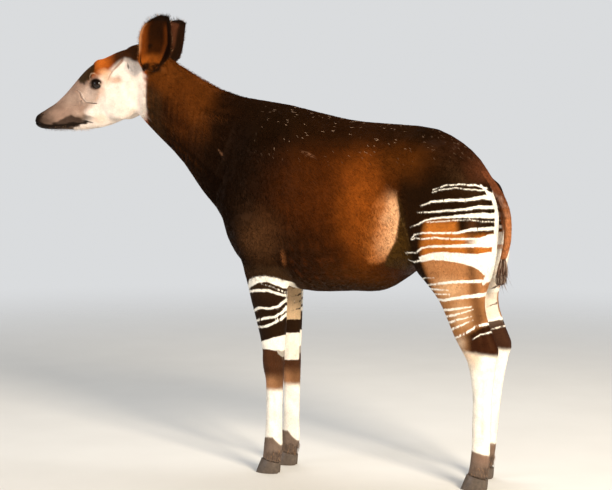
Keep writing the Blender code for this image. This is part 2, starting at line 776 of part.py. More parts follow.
def flat_lock(root, path, width, thickness, name, collection):
    """A lock of hair: flat, widest near its root, bending along its path to a fine tip."""
    shape = [(0.0, 0.75), (0.25, 1.0), (0.5, 0.9), (0.75, 0.6), (1.0, 0.16)]
    points = smooth_rows([root, *path], 1)
    rings = []
    tangents = np.gradient(points, axis=0)
    for i, (point, tangent) in enumerate(zip(points, tangents)):
        share = i / (len(points) - 1)
        scale = np.interp(share, [t for t, _ in shape], [w for _, w in shape])
        along = Vector(tangent).normalized()
        away = Vector((point[0] - 1.000, point[1], 0))
        away = (away - along * away.dot(along)).normalized()
        across = along.cross(away)
        thick = max(thickness * (1 - 0.55 * share), 0.0007)
        rings.append(oval(Vector(point), across, away, width * scale, thick, thick, 2.0, 6))
    return body_through(name, rings, collection)


def build_tuft(target):
    """The brush at the end of the tail, of locks that overlap round a core."""
    core = [*TAIL[5:], (0.995, 0, 0.840, 0.010, 0.011), (0.994, 0, 0.812, 0.005, 0.006)]
    tuft = tube("tail_tuft", core, target, sides=12, steps=2)
    tools = new_collection("tools")
    chance = random.Random(5)
    tiers = ((0.908, 6, 0.070, 1.0), (0.886, 5, 0.070, 0.9), (0.862, 4, 0.066, 0.6))
    for tier, (top, count, reach, spread) in enumerate(tiers):
        for k in range(count):
            turn = 2 * math.pi * (k + 0.5 * tier) / count + chance.uniform(-0.2, 0.2)
            out = Vector((math.cos(turn), math.sin(turn), 0))
            centre = Vector((1.003 - (0.905 - top) * 0.16, 0, top))
            length = reach * chance.uniform(0.85, 1.15)
            root = centre + out * 0.006
            sway = Vector((chance.uniform(-0.004, 0.012), chance.uniform(-0.006, 0.006), 0))
            path = [
                centre + out * 0.0140 + Vector((0, 0, -0.20 * length)),
                centre + out * 0.0165 * spread + sway * 0.3 + Vector((0, 0, -0.50 * length)),
                centre + out * 0.0145 * spread + sway * 0.6 + Vector((0, 0, -0.78 * length)),
                centre + out * 0.0095 * spread + sway + Vector((0, 0, -length)),
            ]
            flat_lock(root, path, 0.0085, 0.0030, f"lock_{tier}_{k}", tools)
    boolean(tuft, tools, "UNION")
    remove_all(tools)
    cut_beyond(tuft, Vector((1.0, 0, TUFT_TOP - GAP)), (-0.15, 0, 1))
    return tuft


def claw(name, side, inner, front, rear, y, target):
    """One half of a cloven hoof, flat underneath and pointed in front."""
    rings = []
    out = side * (-1 if inner else 1)
    for z, front_in, rear_in, girth in (
        (0.000, -0.020, -0.004, 1.00),
        (0.012, -0.016, -0.002, 1.02),
        (0.040, -0.004, 0.000, 1.00),
        (0.085, 0.014, 0.002, 0.92),
    ):
        near, far = front + front_in, rear + rear_in
        ring = []
        for k in range(16):
            angle = 2 * math.pi * k / 16
            x = (near + far) / 2 - (far - near) / 2 * math.cos(angle)
            wide = math.sin(angle)
            taper = 1 - 0.42 * max(0.0, math.cos(angle)) ** 2
            offset = wide * (0.0245 if wide > 0 else 0.0080) * taper * girth
            ring.append(Vector((x, y * side + out * (0.0098 + offset), z)))
        rings.append(ring)
    return body_through(name, rings, target)


def build_feet(nodes, target):
    """Each leg ends on a slope at the coronet, with two claws against it."""
    slope = Vector((0.26, 0, 1)).normalized()
    for name, (side, step, rows) in LEGS.items():
        leg = nodes[name]
        _, front, rear, _, y = next(row for row in rows(step) if row[0] == 0.052)
        middle_x = (front + rear) / 2
        cut_beyond(leg, Vector((middle_x, 0, CORONET)), -slope)
        for inner, word in ((True, "inner"), (False, "outer")):
            hoof = claw(f"hoof_{name}_{word}", side, inner, front, rear, y, target)
            cut_beyond(hoof, Vector((middle_x, 0, CORONET)) - slope * GAP, slope)


def material(name, colour, roughness):
    made = bpy.data.materials.new(name)
    made.use_nodes = True
    shader = made.node_tree.nodes["Principled BSDF"]
    shader.inputs["Base Color"].default_value = (*colour, 1.0)
    shader.inputs["Roughness"].default_value = roughness
    shader.inputs["Metallic"].default_value = 0.0
    return made


COLOURS = {
    "head": ((0.42, 0.33, 0.26), 0.75),
    "neck": ((0.16, 0.050, 0.022), 0.70),
    "torso": ((0.090, 0.030, 0.016), 0.68),
    "foreleg": ((0.30, 0.24, 0.19), 0.72),
    "hindleg": ((0.34, 0.26, 0.19), 0.72),
    "ear": ((0.20, 0.075, 0.032), 0.80),
    "eye": ((0.012, 0.009, 0.008), 0.08),
    "tail": ((0.10, 0.035, 0.020), 0.74),
    "tail_tuft": ((0.045, 0.036, 0.033), 0.82),
    "hoof": ((0.055, 0.046, 0.040), 0.45),
}


def give_materials(collection):
    for obj in collection.objects:
        kind = obj.name if obj.name in COLOURS else obj.name.split("_")[0]
        colour, roughness = COLOURS[kind]
        obj.data.materials.clear()
        obj.data.materials.append(material(obj.name, colour, roughness))
        obj.data.shade_smooth()
        obj.data.set_sharp_from_angle(angle=math.radians(40))


def centre_on_floor(collection):
    """Moves the whole animal so that its box is centred over the origin and it stands on the floor."""
    points = np.array([vert.co for obj in collection.objects for vert in obj.data.vertices])
    low, high = points.min(0), points.max(0)
    shift = Matrix.Translation((-(low[0] + high[0]) / 2, -(low[1] + high[1]) / 2, -low[2]))
    for obj in collection.objects:
        obj.data.transform(shift)


def main():
    clear_scene()
    okapi = new_collection("okapi")
    flesh = new_collection("flesh parts")
    build_trunk(flesh)
    build_neck(flesh)
    build_head(flesh)
    build_legs(flesh)
    body = one_skin(flesh, okapi)
    lighten(body, FLESH_TRIANGLES)
    nodes = part_flesh(body, okapi)
    cut_mouth(nodes["head"])
    build_eyes(nodes["head"], okapi)
    for side in SIDE_NAMES:
        build_ear(side, nodes, okapi)
    build_tail(nodes["torso"], okapi)
    build_tuft(okapi)
    build_feet(nodes, okapi)
    give_materials(okapi)
    centre_on_floor(okapi)


main()
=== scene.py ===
"""The looks of a life-size okapi cow, standing as a museum would show her.

One skin stands for all her flesh. A short, glossy coat of fine tufts lies over it, with longer hair on
the ears, along the nape, on the chin, at the elbows, over the hooves and on the tail, and lashes at the
eyes. Skin and coat take their markings from the same functions of place, so they agree everywhere.
Metres, +Z up; she faces -X and her left side is at -Y.
"""

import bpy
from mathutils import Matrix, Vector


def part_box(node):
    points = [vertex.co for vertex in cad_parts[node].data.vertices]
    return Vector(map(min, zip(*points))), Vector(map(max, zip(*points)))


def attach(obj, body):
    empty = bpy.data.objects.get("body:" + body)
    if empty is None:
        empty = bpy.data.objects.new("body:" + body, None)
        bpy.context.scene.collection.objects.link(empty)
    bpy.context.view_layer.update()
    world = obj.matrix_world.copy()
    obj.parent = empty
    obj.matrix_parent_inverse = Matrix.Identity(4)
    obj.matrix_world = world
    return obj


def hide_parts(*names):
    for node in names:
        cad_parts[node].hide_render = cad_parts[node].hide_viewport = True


bl_info = {
    "name": "Okapi",
    "version": (1, 0, 0),
    "blender": (4, 5, 0),
    "location": "View3D > Sidebar > Okapi",
    "description": "Skin, coat, eyes, hooves and studio for a life-size okapi",
    "category": "Object",
}

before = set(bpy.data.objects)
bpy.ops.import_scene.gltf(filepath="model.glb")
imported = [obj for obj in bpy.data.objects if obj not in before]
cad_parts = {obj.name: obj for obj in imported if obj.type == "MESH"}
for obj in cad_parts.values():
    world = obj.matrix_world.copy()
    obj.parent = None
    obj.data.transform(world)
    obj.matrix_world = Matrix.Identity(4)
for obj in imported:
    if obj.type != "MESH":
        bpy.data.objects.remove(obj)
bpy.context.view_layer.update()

import math
from functools import partial

import bmesh
import bpy
import numpy as np
from bpy.props import FloatProperty, IntProperty, PointerProperty
from mathutils import Matrix, Vector
from mathutils.bvhtree import BVHTree

FLESH = (
    "head", "neck", "torso", "foreleg_left", "foreleg_right", "hindleg_left", "hindleg_right", "ear_left",
    "ear_right", "tail",
)
HOOVES = [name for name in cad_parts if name.startswith("hoof_")]
LEFT, RIGHT = -1, 1
SIDES = {"left": LEFT, "right": RIGHT}

# Where the eyes look, and the half width and half heights of the opening between the lids
EYE_FACES = Vector((-0.26, 0.95, 0.14)).normalized()
EYE_LEVEL = Vector((-1.0, 0.0, -0.2))
LID_HALF_WIDTH = 0.0205
LID_UP = 0.013
LID_DOWN = 0.0105

# Planes that part head from neck and neck from torso: a point on each, and the way it faces
HEAD_PLANE = ((-0.5, 0.0, 1.59), (1.0, 0.0, -0.3))
NECK_PLANE = ((-0.135, 0.0, 1.33), (1.0, 0.0, -0.22))
# The height where the coat of the legs ends, and the places along the body that part forelegs from
# hind legs and the sides from the haunches
LEG_TOP = 0.8
BETWEEN_LEGS = 0.4
HAUNCH_FRONT = 0.66


def channel(value):
    return value / 12.92 if value <= 0.04045 else ((value + 0.055) / 1.055) ** 2.4


def linear(hex_colour):
    """An sRGB hex colour as linear red, green and blue."""
    digits = hex_colour.lstrip("#")
    return np.array([channel(int(digits[i : i + 2], 16) / 255) for i in (0, 2, 4)])


def rise(low, high, values):
    """0 below low, 1 above high, with a soft step between."""
    share = np.clip((np.asarray(values, float) - low) / (high - low), 0.0, 1.0)
    return share * share * (3.0 - 2.0 * share)


def wander(points, size, seed):
    """Smooth noise between about -1 and 1, whose waves are about this size."""
    chance = np.random.default_rng(seed)
    total = np.zeros(len(points))
    for _ in range(7):
        way = chance.normal(size=3)
        way *= chance.uniform(0.6, 1.5) / np.linalg.norm(way) * 2 * math.pi / size
        total += np.sin(points @ way + chance.uniform(0, 2 * math.pi))
    return total / 3.2


def side_view(points):
    return points[:, (0, 2)]


def on_left(points):
    """The points with those of her left side moved over to +Y, where the lines of the head are given."""
    return points * (1, 0, 1) + np.abs(points) * (0, 1, 0)


def to_path(points, path):
    """Each point's distance from a path of straight lengths, and how far along the path that is, 0 to 1."""
    path = np.array(path, float)
    lengths = np.linalg.norm(np.diff(path, axis=0), axis=1)
    starts = np.concatenate([[0.0], np.cumsum(lengths)])
    nearest = np.full(len(points), np.inf)
    along = np.zeros(len(points))
    for k in range(len(path) - 1):
        way = path[k + 1] - path[k]
        share = np.clip(((points - path[k]) @ way) / (way @ way), 0.0, 1.0)
        gap = np.linalg.norm(points - path[k] - share[:, None] * way, axis=1)
        closer = gap < nearest
        nearest = np.where(closer, gap, nearest)
        along = np.where(closer, (starts[k] + share * lengths[k]) / starts[-1], along)
    return nearest, along


def inside(points, outline, soft):
    """1 inside a closed outline in side view, 0 outside, with an edge this soft."""
    flat = side_view(points)
    gap, _ = to_path(flat, list(outline) + [outline[0]])
    within = np.zeros(len(points), bool)
    for (x1, z1), (x2, z2) in zip(outline, list(outline[1:]) + [outline[0]]):
        if z1 == z2:
            continue
        crosses = (flat[:, 1] > min(z1, z2)) & (flat[:, 1] <= max(z1, z2))
        at = x1 + (flat[:, 1] - z1) * (x2 - x1) / (z2 - z1)
        within ^= crosses & (flat[:, 0] < at)
    return rise(-soft, soft, np.where(within, gap, -gap))


def stroke(points, path, widths, soft=0.0012):
    """1 on a painted line in side view, whose width changes evenly through these widths."""
    gap, along = to_path(side_view(points), path)
    half = np.interp(along, np.linspace(0, 1, len(widths)), widths) / 2
    return rise(-soft, soft, half - gap)


def oval_patch(points, middle, reach, soft=0.35):
    """1 in the middle of an ellipse in side view, falling softly to 0 at its edge."""
    away = np.linalg.norm((side_view(points) - middle) / reach, axis=1)
    return 1.0 - rise(1.0 - soft, 1.0 + soft, away)


def beyond(points, plane):
    """How far each point lies behind a plane, in metres."""
    at, way = (np.array(value, float) for value in plane)
    return (points - at) @ (way / np.linalg.norm(way))


def mesh_points(mesh):
    flat = np.empty(len(mesh.vertices) * 3)
    mesh.vertices.foreach_get("co", flat)
    return flat.reshape(-1, 3)


def mesh_normals(mesh):
    flat = np.empty(len(mesh.vertices) * 3)
    mesh.vertex_normals.foreach_get("vector", flat)
    return flat.reshape(-1, 3)


def set_points(mesh, points):
    mesh.vertices.foreach_set("co", np.asarray(points, float).ravel())
    mesh.update()


def new_object(name, mesh):
    obj = bpy.data.objects.new(name, mesh)
    bpy.context.scene.collection.objects.link(obj)
    return obj


def mesh_from(bm, name):
    mesh = bpy.data.meshes.new(name)
    bm.to_mesh(mesh)
    bm.free()
    return mesh


def apply_modifiers(obj):
    bpy.context.view_layer.update()
    graph = bpy.context.evaluated_depsgraph_get()
    mesh = bpy.data.meshes.new_from_object(obj.evaluated_get(graph))
    obj.modifiers.clear()
    obj.data = mesh


def merged_copy(name, grow=0.0):
    """A bmesh of a CAD node with its loose triangles joined, larger by this much all over."""
    bm = bmesh.new()
    bm.from_mesh(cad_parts[name].data)
    bmesh.ops.remove_doubles(bm, verts=bm.verts[:], dist=1e-5)
    bm.normal_update()
    for vert in bm.verts:
        vert.co += vert.normal * grow
    return bm


EAR_TREES = {word: BVHTree.FromBMesh(merged_copy(f"ear_{word}")) for word in SIDES}


def middle_of(name):
    low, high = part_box(name)
    return (low + high) / 2


class Eye:
    """Where one eye is, and the directions along its lids, up them and outwards."""

    def __init__(self, word):
        low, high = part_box(f"eye_{word}")
        self.centre = (low + high) / 2
        self.radius = (high.z - low.z) / 2
        self.out = Vector((EYE_FACES.x, EYE_FACES.y * SIDES[word], EYE_FACES.z))
        level = EYE_LEVEL - self.out * EYE_LEVEL.dot(self.out)
        self.level = level.normalized()
        up = self.out.cross(self.level).normalized()
        self.up = up if up.z > 0 else -up

    def seen_from(self, points):
        """The points' places along, up and out from the middle of the eye."""
        away = points - np.array(self.centre)
        return np.stack([away @ np.array(axis) for axis in (self.level, self.up, self.out)], axis=1)

    def openness(self, local):
        """Under 1 between the lids, over 1 outside their almond-shaped opening."""
        across = np.abs(local[:, 0]) / LID_HALF_WIDTH
        height = np.where(local[:, 1] > 0, local[:, 1] / LID_UP, -local[:, 1] / LID_DOWN)
        return (across**2.2 + np.abs(height) ** 1.7) ** 0.5 + 3.0 * (local[:, 2] < 0)


EYES = {word: Eye(word) for word in SIDES}


def away_from(eye, points):
    """Each point's distance from the middle of an eye."""
    return np.linalg.norm(points - np.array(eye.centre), axis=1)


def near_ears(points):
    """Which ear each point belongs to: -1 for the left one, 1 for the right one, 0 for none."""
    found = np.zeros(len(points), int)
    for word, side in SIDES.items():
        low, high = (np.array(corner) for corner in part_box(f"ear_{word}"))
        close = ((points > low - 0.008) & (points < high + 0.008)).all(axis=1)
        for i in np.flatnonzero(close):
            if EAR_TREES[word].find_nearest(Vector(points[i]), 0.007)[0] is not None:
                found[i] = side
    return found


def calmness(points, ears):
    """How much of the long smoothing reaches each point: all on the trunk, least where form is fine."""
    behind = beyond(points, HEAD_PLANE)
    trunk = rise(0.7, 0.95, points[:, 2])
    calm = 0.1 + 0.9 * trunk
    head = 1.0 - rise(-0.03, 0.06, behind)
    calm = calm * (1 - head) + 0.028 * head
    tail = rise(0.985, 1.005, points[:, 0]) * (np.abs(points[:, 1]) < 0.045) * (points[:, 2] < 1.2)
    calm = calm * (1 - tail) + 0.05 * tail
    for eye in EYES.values():
        calm = np.where(away_from(eye, points) < 0.034, 0.01, calm)
    return np.where(ears != 0, 0.004, calm)


def closeness(points, ears):
    """How much finer the faces are kept here, 0 on the trunk to 1 on head and ears."""
    head = 1.0 - rise(-0.05, 0.05, beyond(points, HEAD_PLANE))
    striped = rise(0.6, 0.7, points[:, 0]) * (1 - rise(1.18, 1.24, points[:, 2]))
    legs = 1.0 - rise(0.8, 0.92, points[:, 2])
    fine = np.maximum(0.93 * head, 0.8 * np.maximum(striped, legs))
    return np.where(ears != 0, 1.0, fine)


def weight_group(obj, name, weights):
    group = obj.vertex_groups.new(name=name)
    steps = np.round(weights * 250).astype(int)
    order = np.argsort(steps, kind="stable")
    edges = np.flatnonzero(np.diff(steps[order])) + 1
    for some in np.split(order, edges):
        group.add(some.tolist(), float(steps[some[0]]) / 250, "REPLACE")
    return group.name


def largest_surface(mesh):
    """Keeps the mesh's largest connected surface."""
    bm = bmesh.new()
    bm.from_mesh(mesh)
    seen = set()
    best = []
    for start in bm.verts:
        if start in seen:
            continue
        seen.add(start)
        group, waiting = [start], [start]
        while waiting:
            for edge in waiting.pop().link_edges:
                for vert in edge.verts:
                    if vert not in seen:
                        seen.add(vert)
                        group.append(vert)
                        waiting.append(vert)
        if len(group) > len(best):
            best = group
    keep = set(best)
    away = [vert for vert in bm.verts if vert not in keep]
    bmesh.ops.delete(bm, geom=away, context="VERTS")
    bm.to_mesh(mesh)
    bm.free()
    mesh.update()


# The bare end of the tail inside its brush: centre height, rise and radii
TAIL_TIP = {"at": (1.0, 0.0, 0.866), "length": 0.08, "top": 0.012, "end": 0.004}


def flesh_form(voxel):
    """All the flesh as one closed surface of small even faces."""
    bm = bmesh.new()
    for name in FLESH:
        part = merged_copy(name, grow=0.0004)
        mesh = mesh_from(part, name)
        bm.from_mesh(mesh)
        bpy.data.meshes.remove(mesh)
    made = bmesh.ops.create_cone(
        bm,
        cap_ends=True,
        segments=16,
        radius1=TAIL_TIP["end"],
        radius2=TAIL_TIP["top"],
        depth=TAIL_TIP["length"],
    )
    bmesh.ops.translate(bm, verts=made["verts"], vec=TAIL_TIP["at"])
    skin = new_object("skin", mesh_from(bm, "skin"))
    remesh = skin.modifiers.new("one skin", "REMESH")
    remesh.mode = "VOXEL"
    remesh.voxel_size = voxel
    apply_modifiers(skin)
    largest_surface(skin.data)
    return skin


def calm_form(skin, times):
    """Smooths away the facets of the solids, far on the trunk and barely on head and ears."""
    points = mesh_points(skin.data)
    ears = near_ears(points)
    smooth = skin.modifiers.new("calm", "SMOOTH")
    smooth.factor = 0.5
    smooth.iterations = times
    smooth.vertex_group = weight_group(skin, "calm", calmness(points, ears) ** 0.5)
    apply_modifiers(skin)
    skin.vertex_groups.clear()
    return ears


def thin_out(skin, ears, triangles):
    """Fewer faces, with the finest ones left on head, ears, striped thighs and legs."""
    fewer = skin.modifiers.new("fewer faces", "DECIMATE")
    have = sum(len(face.vertices) - 2 for face in skin.data.polygons)
    fewer.ratio = min(1.0, triangles / have)
    fewer.use_collapse_triangulate = True
    weights = 1.0 - 0.985 * closeness(mesh_points(skin.data), ears)
    fewer.vertex_group = weight_group(skin, "may go", weights)
    fewer.vertex_group_factor = 0.6
    apply_modifiers(skin)
    skin.vertex_groups.clear()


# Lines on the left side of the head: the mouth, the slit of the nostril and the folds of the face
MOUTH = [
    (-0.838, 0.05, 1.451), (-0.872, 0.048, 1.442), (-0.905, 0.045, 1.431), (-0.945, 0.044, 1.419),
    (-0.985, 0.042, 1.411), (-1.018, 0.032, 1.415), (-1.042, 0.014, 1.4235), (-1.048, 0.0, 1.426),
]
NOSTRIL = [(-0.998, 0.036, 1.453), (-0.984, 0.041, 1.462), (-0.966, 0.042, 1.472)]
CHEEK_FOLD = [
    (-0.826, 0.052, 1.556), (-0.806, 0.057, 1.548), (-0.794, 0.06, 1.524), (-0.772, 0.062, 1.506),
    (-0.722, 0.064, 1.502),
]
LIP_FOLD = [
    (-0.98, 0.043, 1.423), (-0.946, 0.045, 1.436), (-0.896, 0.046, 1.46), (-0.852, 0.052, 1.486),
    (-0.806, 0.058, 1.493), (-0.796, 0.06, 1.515),
]

# Strokes that shape the skin of the head on both sides: path, reach and how far it moves the skin
FINE_STROKES = {
    "line of the mouth": (MOUTH, 0.0048, -0.0052),
    "upper lip": ([(x, y, z + 0.0075) for x, y, z in MOUTH], 0.007, 0.0012),
    "lower lip": ([(x, y, z - 0.0075) for x, y, z in MOUTH], 0.007, 0.0014),
    "slit of the nostril": (NOSTRIL, 0.0058, -0.009),
    "wing of the nostril": ([(x - 0.004, y, z + 0.008) for x, y, z in NOSTRIL], 0.0085, 0.003),
    "rim under the nostril": ([(x + 0.006, y, z - 0.008) for x, y, z in NOSTRIL], 0.008, 0.0016),
    "fold before the cheek": (CHEEK_FOLD, 0.005, -0.0024),
    "swell before the fold": ([(x - 0.008, y, z - 0.005) for x, y, z in CHEEK_FOLD], 0.008, 0.0016),
    "fold over the lip": (LIP_FOLD, 0.0052, -0.002),
    "swell over the lip": ([(x - 0.003, y, z + 0.007) for x, y, z in LIP_FOLD], 0.0075, 0.0014),
    "fold over the eye": (
        [(-0.75, 0.068, 1.595), (-0.736, 0.07, 1.611), (-0.71, 0.07, 1.618), (-0.68, 0.072, 1.61)],
        0.006, -0.0028,
    ),
    "fold under the eye": (
        [(-0.75, 0.07, 1.567), (-0.72, 0.074, 1.558), (-0.688, 0.074, 1.564)], 0.006, -0.0016
    ),
    "ridge before the eye": ([(-0.772, 0.06, 1.608), (-0.76, 0.066, 1.59)], 0.009, 0.0026),
    "tear pit": ([(-0.752, 0.066, 1.58), (-0.766, 0.062, 1.574)], 0.007, -0.0028),
    "temple": ([(-0.622, 0.072, 1.606), (-0.596, 0.074, 1.59)], 0.026, -0.004),
    "cheekbone": ([(-0.74, 0.074, 1.556), (-0.66, 0.078, 1.565), (-0.6, 0.074, 1.58)], 0.02, 0.0022),
    "slit under the ear": ([(-0.574, 0.064, 1.664), (-0.569, 0.064, 1.649)], 0.006, -0.003),
    "edge of the jaw": ([(-0.56, 0.06, 1.56), (-0.556, 0.06, 1.5), (-0.58, 0.05, 1.456)], 0.02, 0.0022),
    "first fold of the throat": (
        [(-0.478, 0.07, 1.56), (-0.47, 0.07, 1.5), (-0.464, 0.06, 1.45)], 0.01, -0.0026
    ),
    "second fold of the throat": (
        [(-0.45, 0.07, 1.54), (-0.44, 0.068, 1.48), (-0.43, 0.06, 1.425)], 0.012, -0.0024
    ),
}

# Strokes that shape the skin of the body
BROAD_STROKES = {
    "fold over the elbow": (
        [(0.06, 0.16, 0.918), (0.115, 0.166, 0.924), (0.15, 0.17, 0.94)], 0.012, -0.0042
    ),
    "under that fold": ([(0.06, 0.155, 0.9), (0.115, 0.16, 0.906), (0.146, 0.165, 0.924)], 0.014, 0.0026),
    "rear edge of the upper arm": (
        [(0.14, 0.165, 1.02), (0.158, 0.165, 0.96), (0.16, 0.16, 0.91)], 0.02, 0.004
    ),
    "edge of the flank fold": (
        [(0.64, 0.19, 1.16), (0.652, 0.19, 1.07), (0.64, 0.18, 0.98), (0.6, 0.165, 0.9)], 0.022, 0.0065
    ),
    "behind the flank fold": (
        [(0.668, 0.185, 1.15), (0.678, 0.185, 1.06), (0.664, 0.17, 0.97)], 0.02, -0.005
    ),
    "swell of the flank": ([(0.585, 0.205, 1.14), (0.585, 0.215, 1.05), (0.57, 0.2, 0.95)], 0.06, 0.006),
    "collar bone dimple": ([(-0.135, 0.105, 1.3), (-0.15, 0.105, 1.27)], 0.022, -0.004),
    "front of the shoulder": ([(-0.08, 0.14, 1.3), (-0.1, 0.14, 1.22), (-0.11, 0.13, 1.14)], 0.05, 0.004),
    "muscle of the upper arm": ([(0.01, 0.15, 1.06), (0.04, 0.165, 1.0), (0.06, 0.16, 0.95)], 0.05, 0.004),
    "first rib": ([(0.21, 0.19, 1.23), (0.235, 0.2, 1.15), (0.25, 0.2, 1.06)], 0.016, 0.0012),
    "second rib": ([(0.27, 0.2, 1.23), (0.3, 0.21, 1.15), (0.318, 0.21, 1.06)], 0.016, 0.0012),
    "third rib": ([(0.33, 0.205, 1.22), (0.364, 0.215, 1.14), (0.384, 0.215, 1.06)], 0.016, 0.001),
    "tendon of the foreleg": ([(0.1, 0.088, 0.33), (0.102, 0.088, 0.19)], 0.018, 0.002),
    "hollow before that tendon": ([(0.086, 0.112, 0.32), (0.088, 0.112, 0.2)], 0.012, -0.003),
    "knee cap": ([(0.036, 0.088, 0.47), (0.042, 0.088, 0.42)], 0.026, 0.0028),
    "tendon of the hind leg": ([(0.975, 0.11, 0.46), (0.968, 0.11, 0.2)], 0.018, 0.002),
    "hollow before the hind tendon": ([(0.962, 0.134, 0.43), (0.955, 0.134, 0.21)], 0.013, -0.0032),
    "hollow before the point of the hock": ([(0.952, 0.138, 0.62), (0.968, 0.138, 0.57)], 0.02, -0.004),
}


def moved_by_strokes(points, strokes):
    """How far each point moves along its normal under the strokes, which act on both sides alike."""
    one_side = on_left(points)
    move = np.zeros(len(points))
    for path, reach, depth in strokes.values():
        low = np.min(path, axis=0) - reach
        high = np.max(path, axis=0) + reach
        close = np.flatnonzero(((one_side > low) & (one_side < high)).all(axis=1))
        near = np.clip(1.0 - to_path(one_side[close], path)[0] / reach, 0.0, 1.0)
        move[close] += depth * near * near * (3 - 2 * near)
    return move


def edge_ends(mesh):
    """The two corners of each of the mesh's edges."""
    flat = np.empty(len(mesh.edges) * 2, int)
    mesh.edges.foreach_get("vertices", flat)
    return flat.reshape(-1, 2)


def refine(mesh, chosen):
    """Splits the chosen edges, so that finer forms and markings can be made there."""
    bm = bmesh.new()
    bm.from_mesh(mesh)
    bm.edges.ensure_lookup_table()
    edges = [bm.edges[i] for i in np.flatnonzero(chosen)]
    bmesh.ops.subdivide_edges(bm, edges=edges, cuts=1, use_grid_fill=True)
    bmesh.ops.triangulate(bm, faces=bm.faces[:])
    bm.to_mesh(mesh)
    bm.free()
    mesh.update()


def fine_places(points):
    """True near the eyes, the mouth, the nostrils and the folds of the face."""
    one_side = on_left(points)
    close = np.zeros(len(points), bool)
    for path, reach in ((MOUTH, 0.01), (NOSTRIL, 0.018), (CHEEK_FOLD, 0.008), (LIP_FOLD, 0.008)):
        close |= to_path(one_side, path)[0] < reach
    for eye in EYES.values():
        close |= away_from(eye, points) < eye.radius + 0.012
    return close


def shape_lids(points):
    """Draws the skin round each eyeball to lids of even thickness, open in an almond shape."""
    points = points.copy()
    for eye in EYES.values():
        local = eye.seen_from(points)
        distance = np.linalg.norm(local, axis=1)
        close = distance < eye.radius + 0.02
        opening = eye.openness(local)
        rim = eye.radius + 0.0026 + 0.0012 * rise(1.0, 1.25, opening) - 0.0008 * rise(1.3, 1.9, opening)
        held = 1.0 - rise(1.35, 2.1, opening)
        target = np.where(opening < 1.0, eye.radius - 0.0035, rim * held + distance * (1 - held))
        target = np.where(close, target, distance)
        centre = np.array(eye.centre)
        stretch = target / np.maximum(distance, 1e-6)
        points = np.where(close[:, None], centre + (points - centre) * stretch[:, None], points)
    return points


def coat_depth(points, ears):
    """How far the skin lies inside the solids, which stand for the tips of the coat."""
    head = 1.0 - rise(-0.05, 0.05, beyond(points, HEAD_PLANE))
    legs = 1.0 - rise(0.75, 0.95, points[:, 2])
    depth = 0.002 - 0.0008 * legs
    depth = depth * (1 - head) + 0.0008 * head
    return np.where(ears != 0, 0.0006, depth)


def build_skin(settings):
    voxel = settings.voxel * 1.0
    skin = flesh_form(voxel)
    ears = calm_form(skin, int(settings.calming / (1)))
    thin_out(skin, ears, settings.triangles // (1))
    for _ in range(2):
        refine(skin.data, fine_places(mesh_points(skin.data))[edge_ends(skin.data)].all(axis=1))
    points = mesh_points(skin.data)
    normals = mesh_normals(skin.data)
    move = moved_by_strokes(points, BROAD_STROKES) - coat_depth(points, near_ears(points))
    points = points + normals * move[:, None]
    set_points(skin.data, points)
    points = points + mesh_normals(skin.data) * moved_by_strokes(points, FINE_STROKES)[:, None]
    set_points(skin.data, shape_lids(points))
    for share in ((0.6, 1.0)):
        room = int(share * (settings.most_triangles - len(skin.data.polygons)))
        refine(skin.data, marking_edges(skin.data, settings.marking_edge, room))
    skin.data.shade_smooth()
    return skin


def marking_edges(mesh, shortest, room):
    """The edges that the border of a marking crosses, the longest ones where there is room for few faces."""
    points = mesh_points(mesh)
    ends = edge_ends(mesh)
    colours = markings(points, mesh_normals(mesh), near_ears(points)).mean(axis=1)
    length = np.linalg.norm(points[ends[:, 0]] - points[ends[:, 1]], axis=1)
    contrast = np.abs(colours[ends[:, 0]] - colours[ends[:, 1]])
    crossed = np.flatnonzero((contrast > 0.15) & (length > shortest))
    chosen = np.zeros(len(ends), bool)
    chosen[crossed[np.argsort(-length[crossed], kind="stable")][: max(0, room) // 2]] = True
    return chosen


# The coat's colours
CHOCOLATE = "#2E1503"
BLACK_BROWN = "#190C04"
WARM_BROWN = "#4C2104"
RUSSET_HIGHLIGHT = "#864310"
CREAM = "#FBEADC"
WHITE = "#FFF8EA"
GREY_BROWN = "#A48674"
DARK_GREY = "#6B574A"
BLACK = "#0E0906"

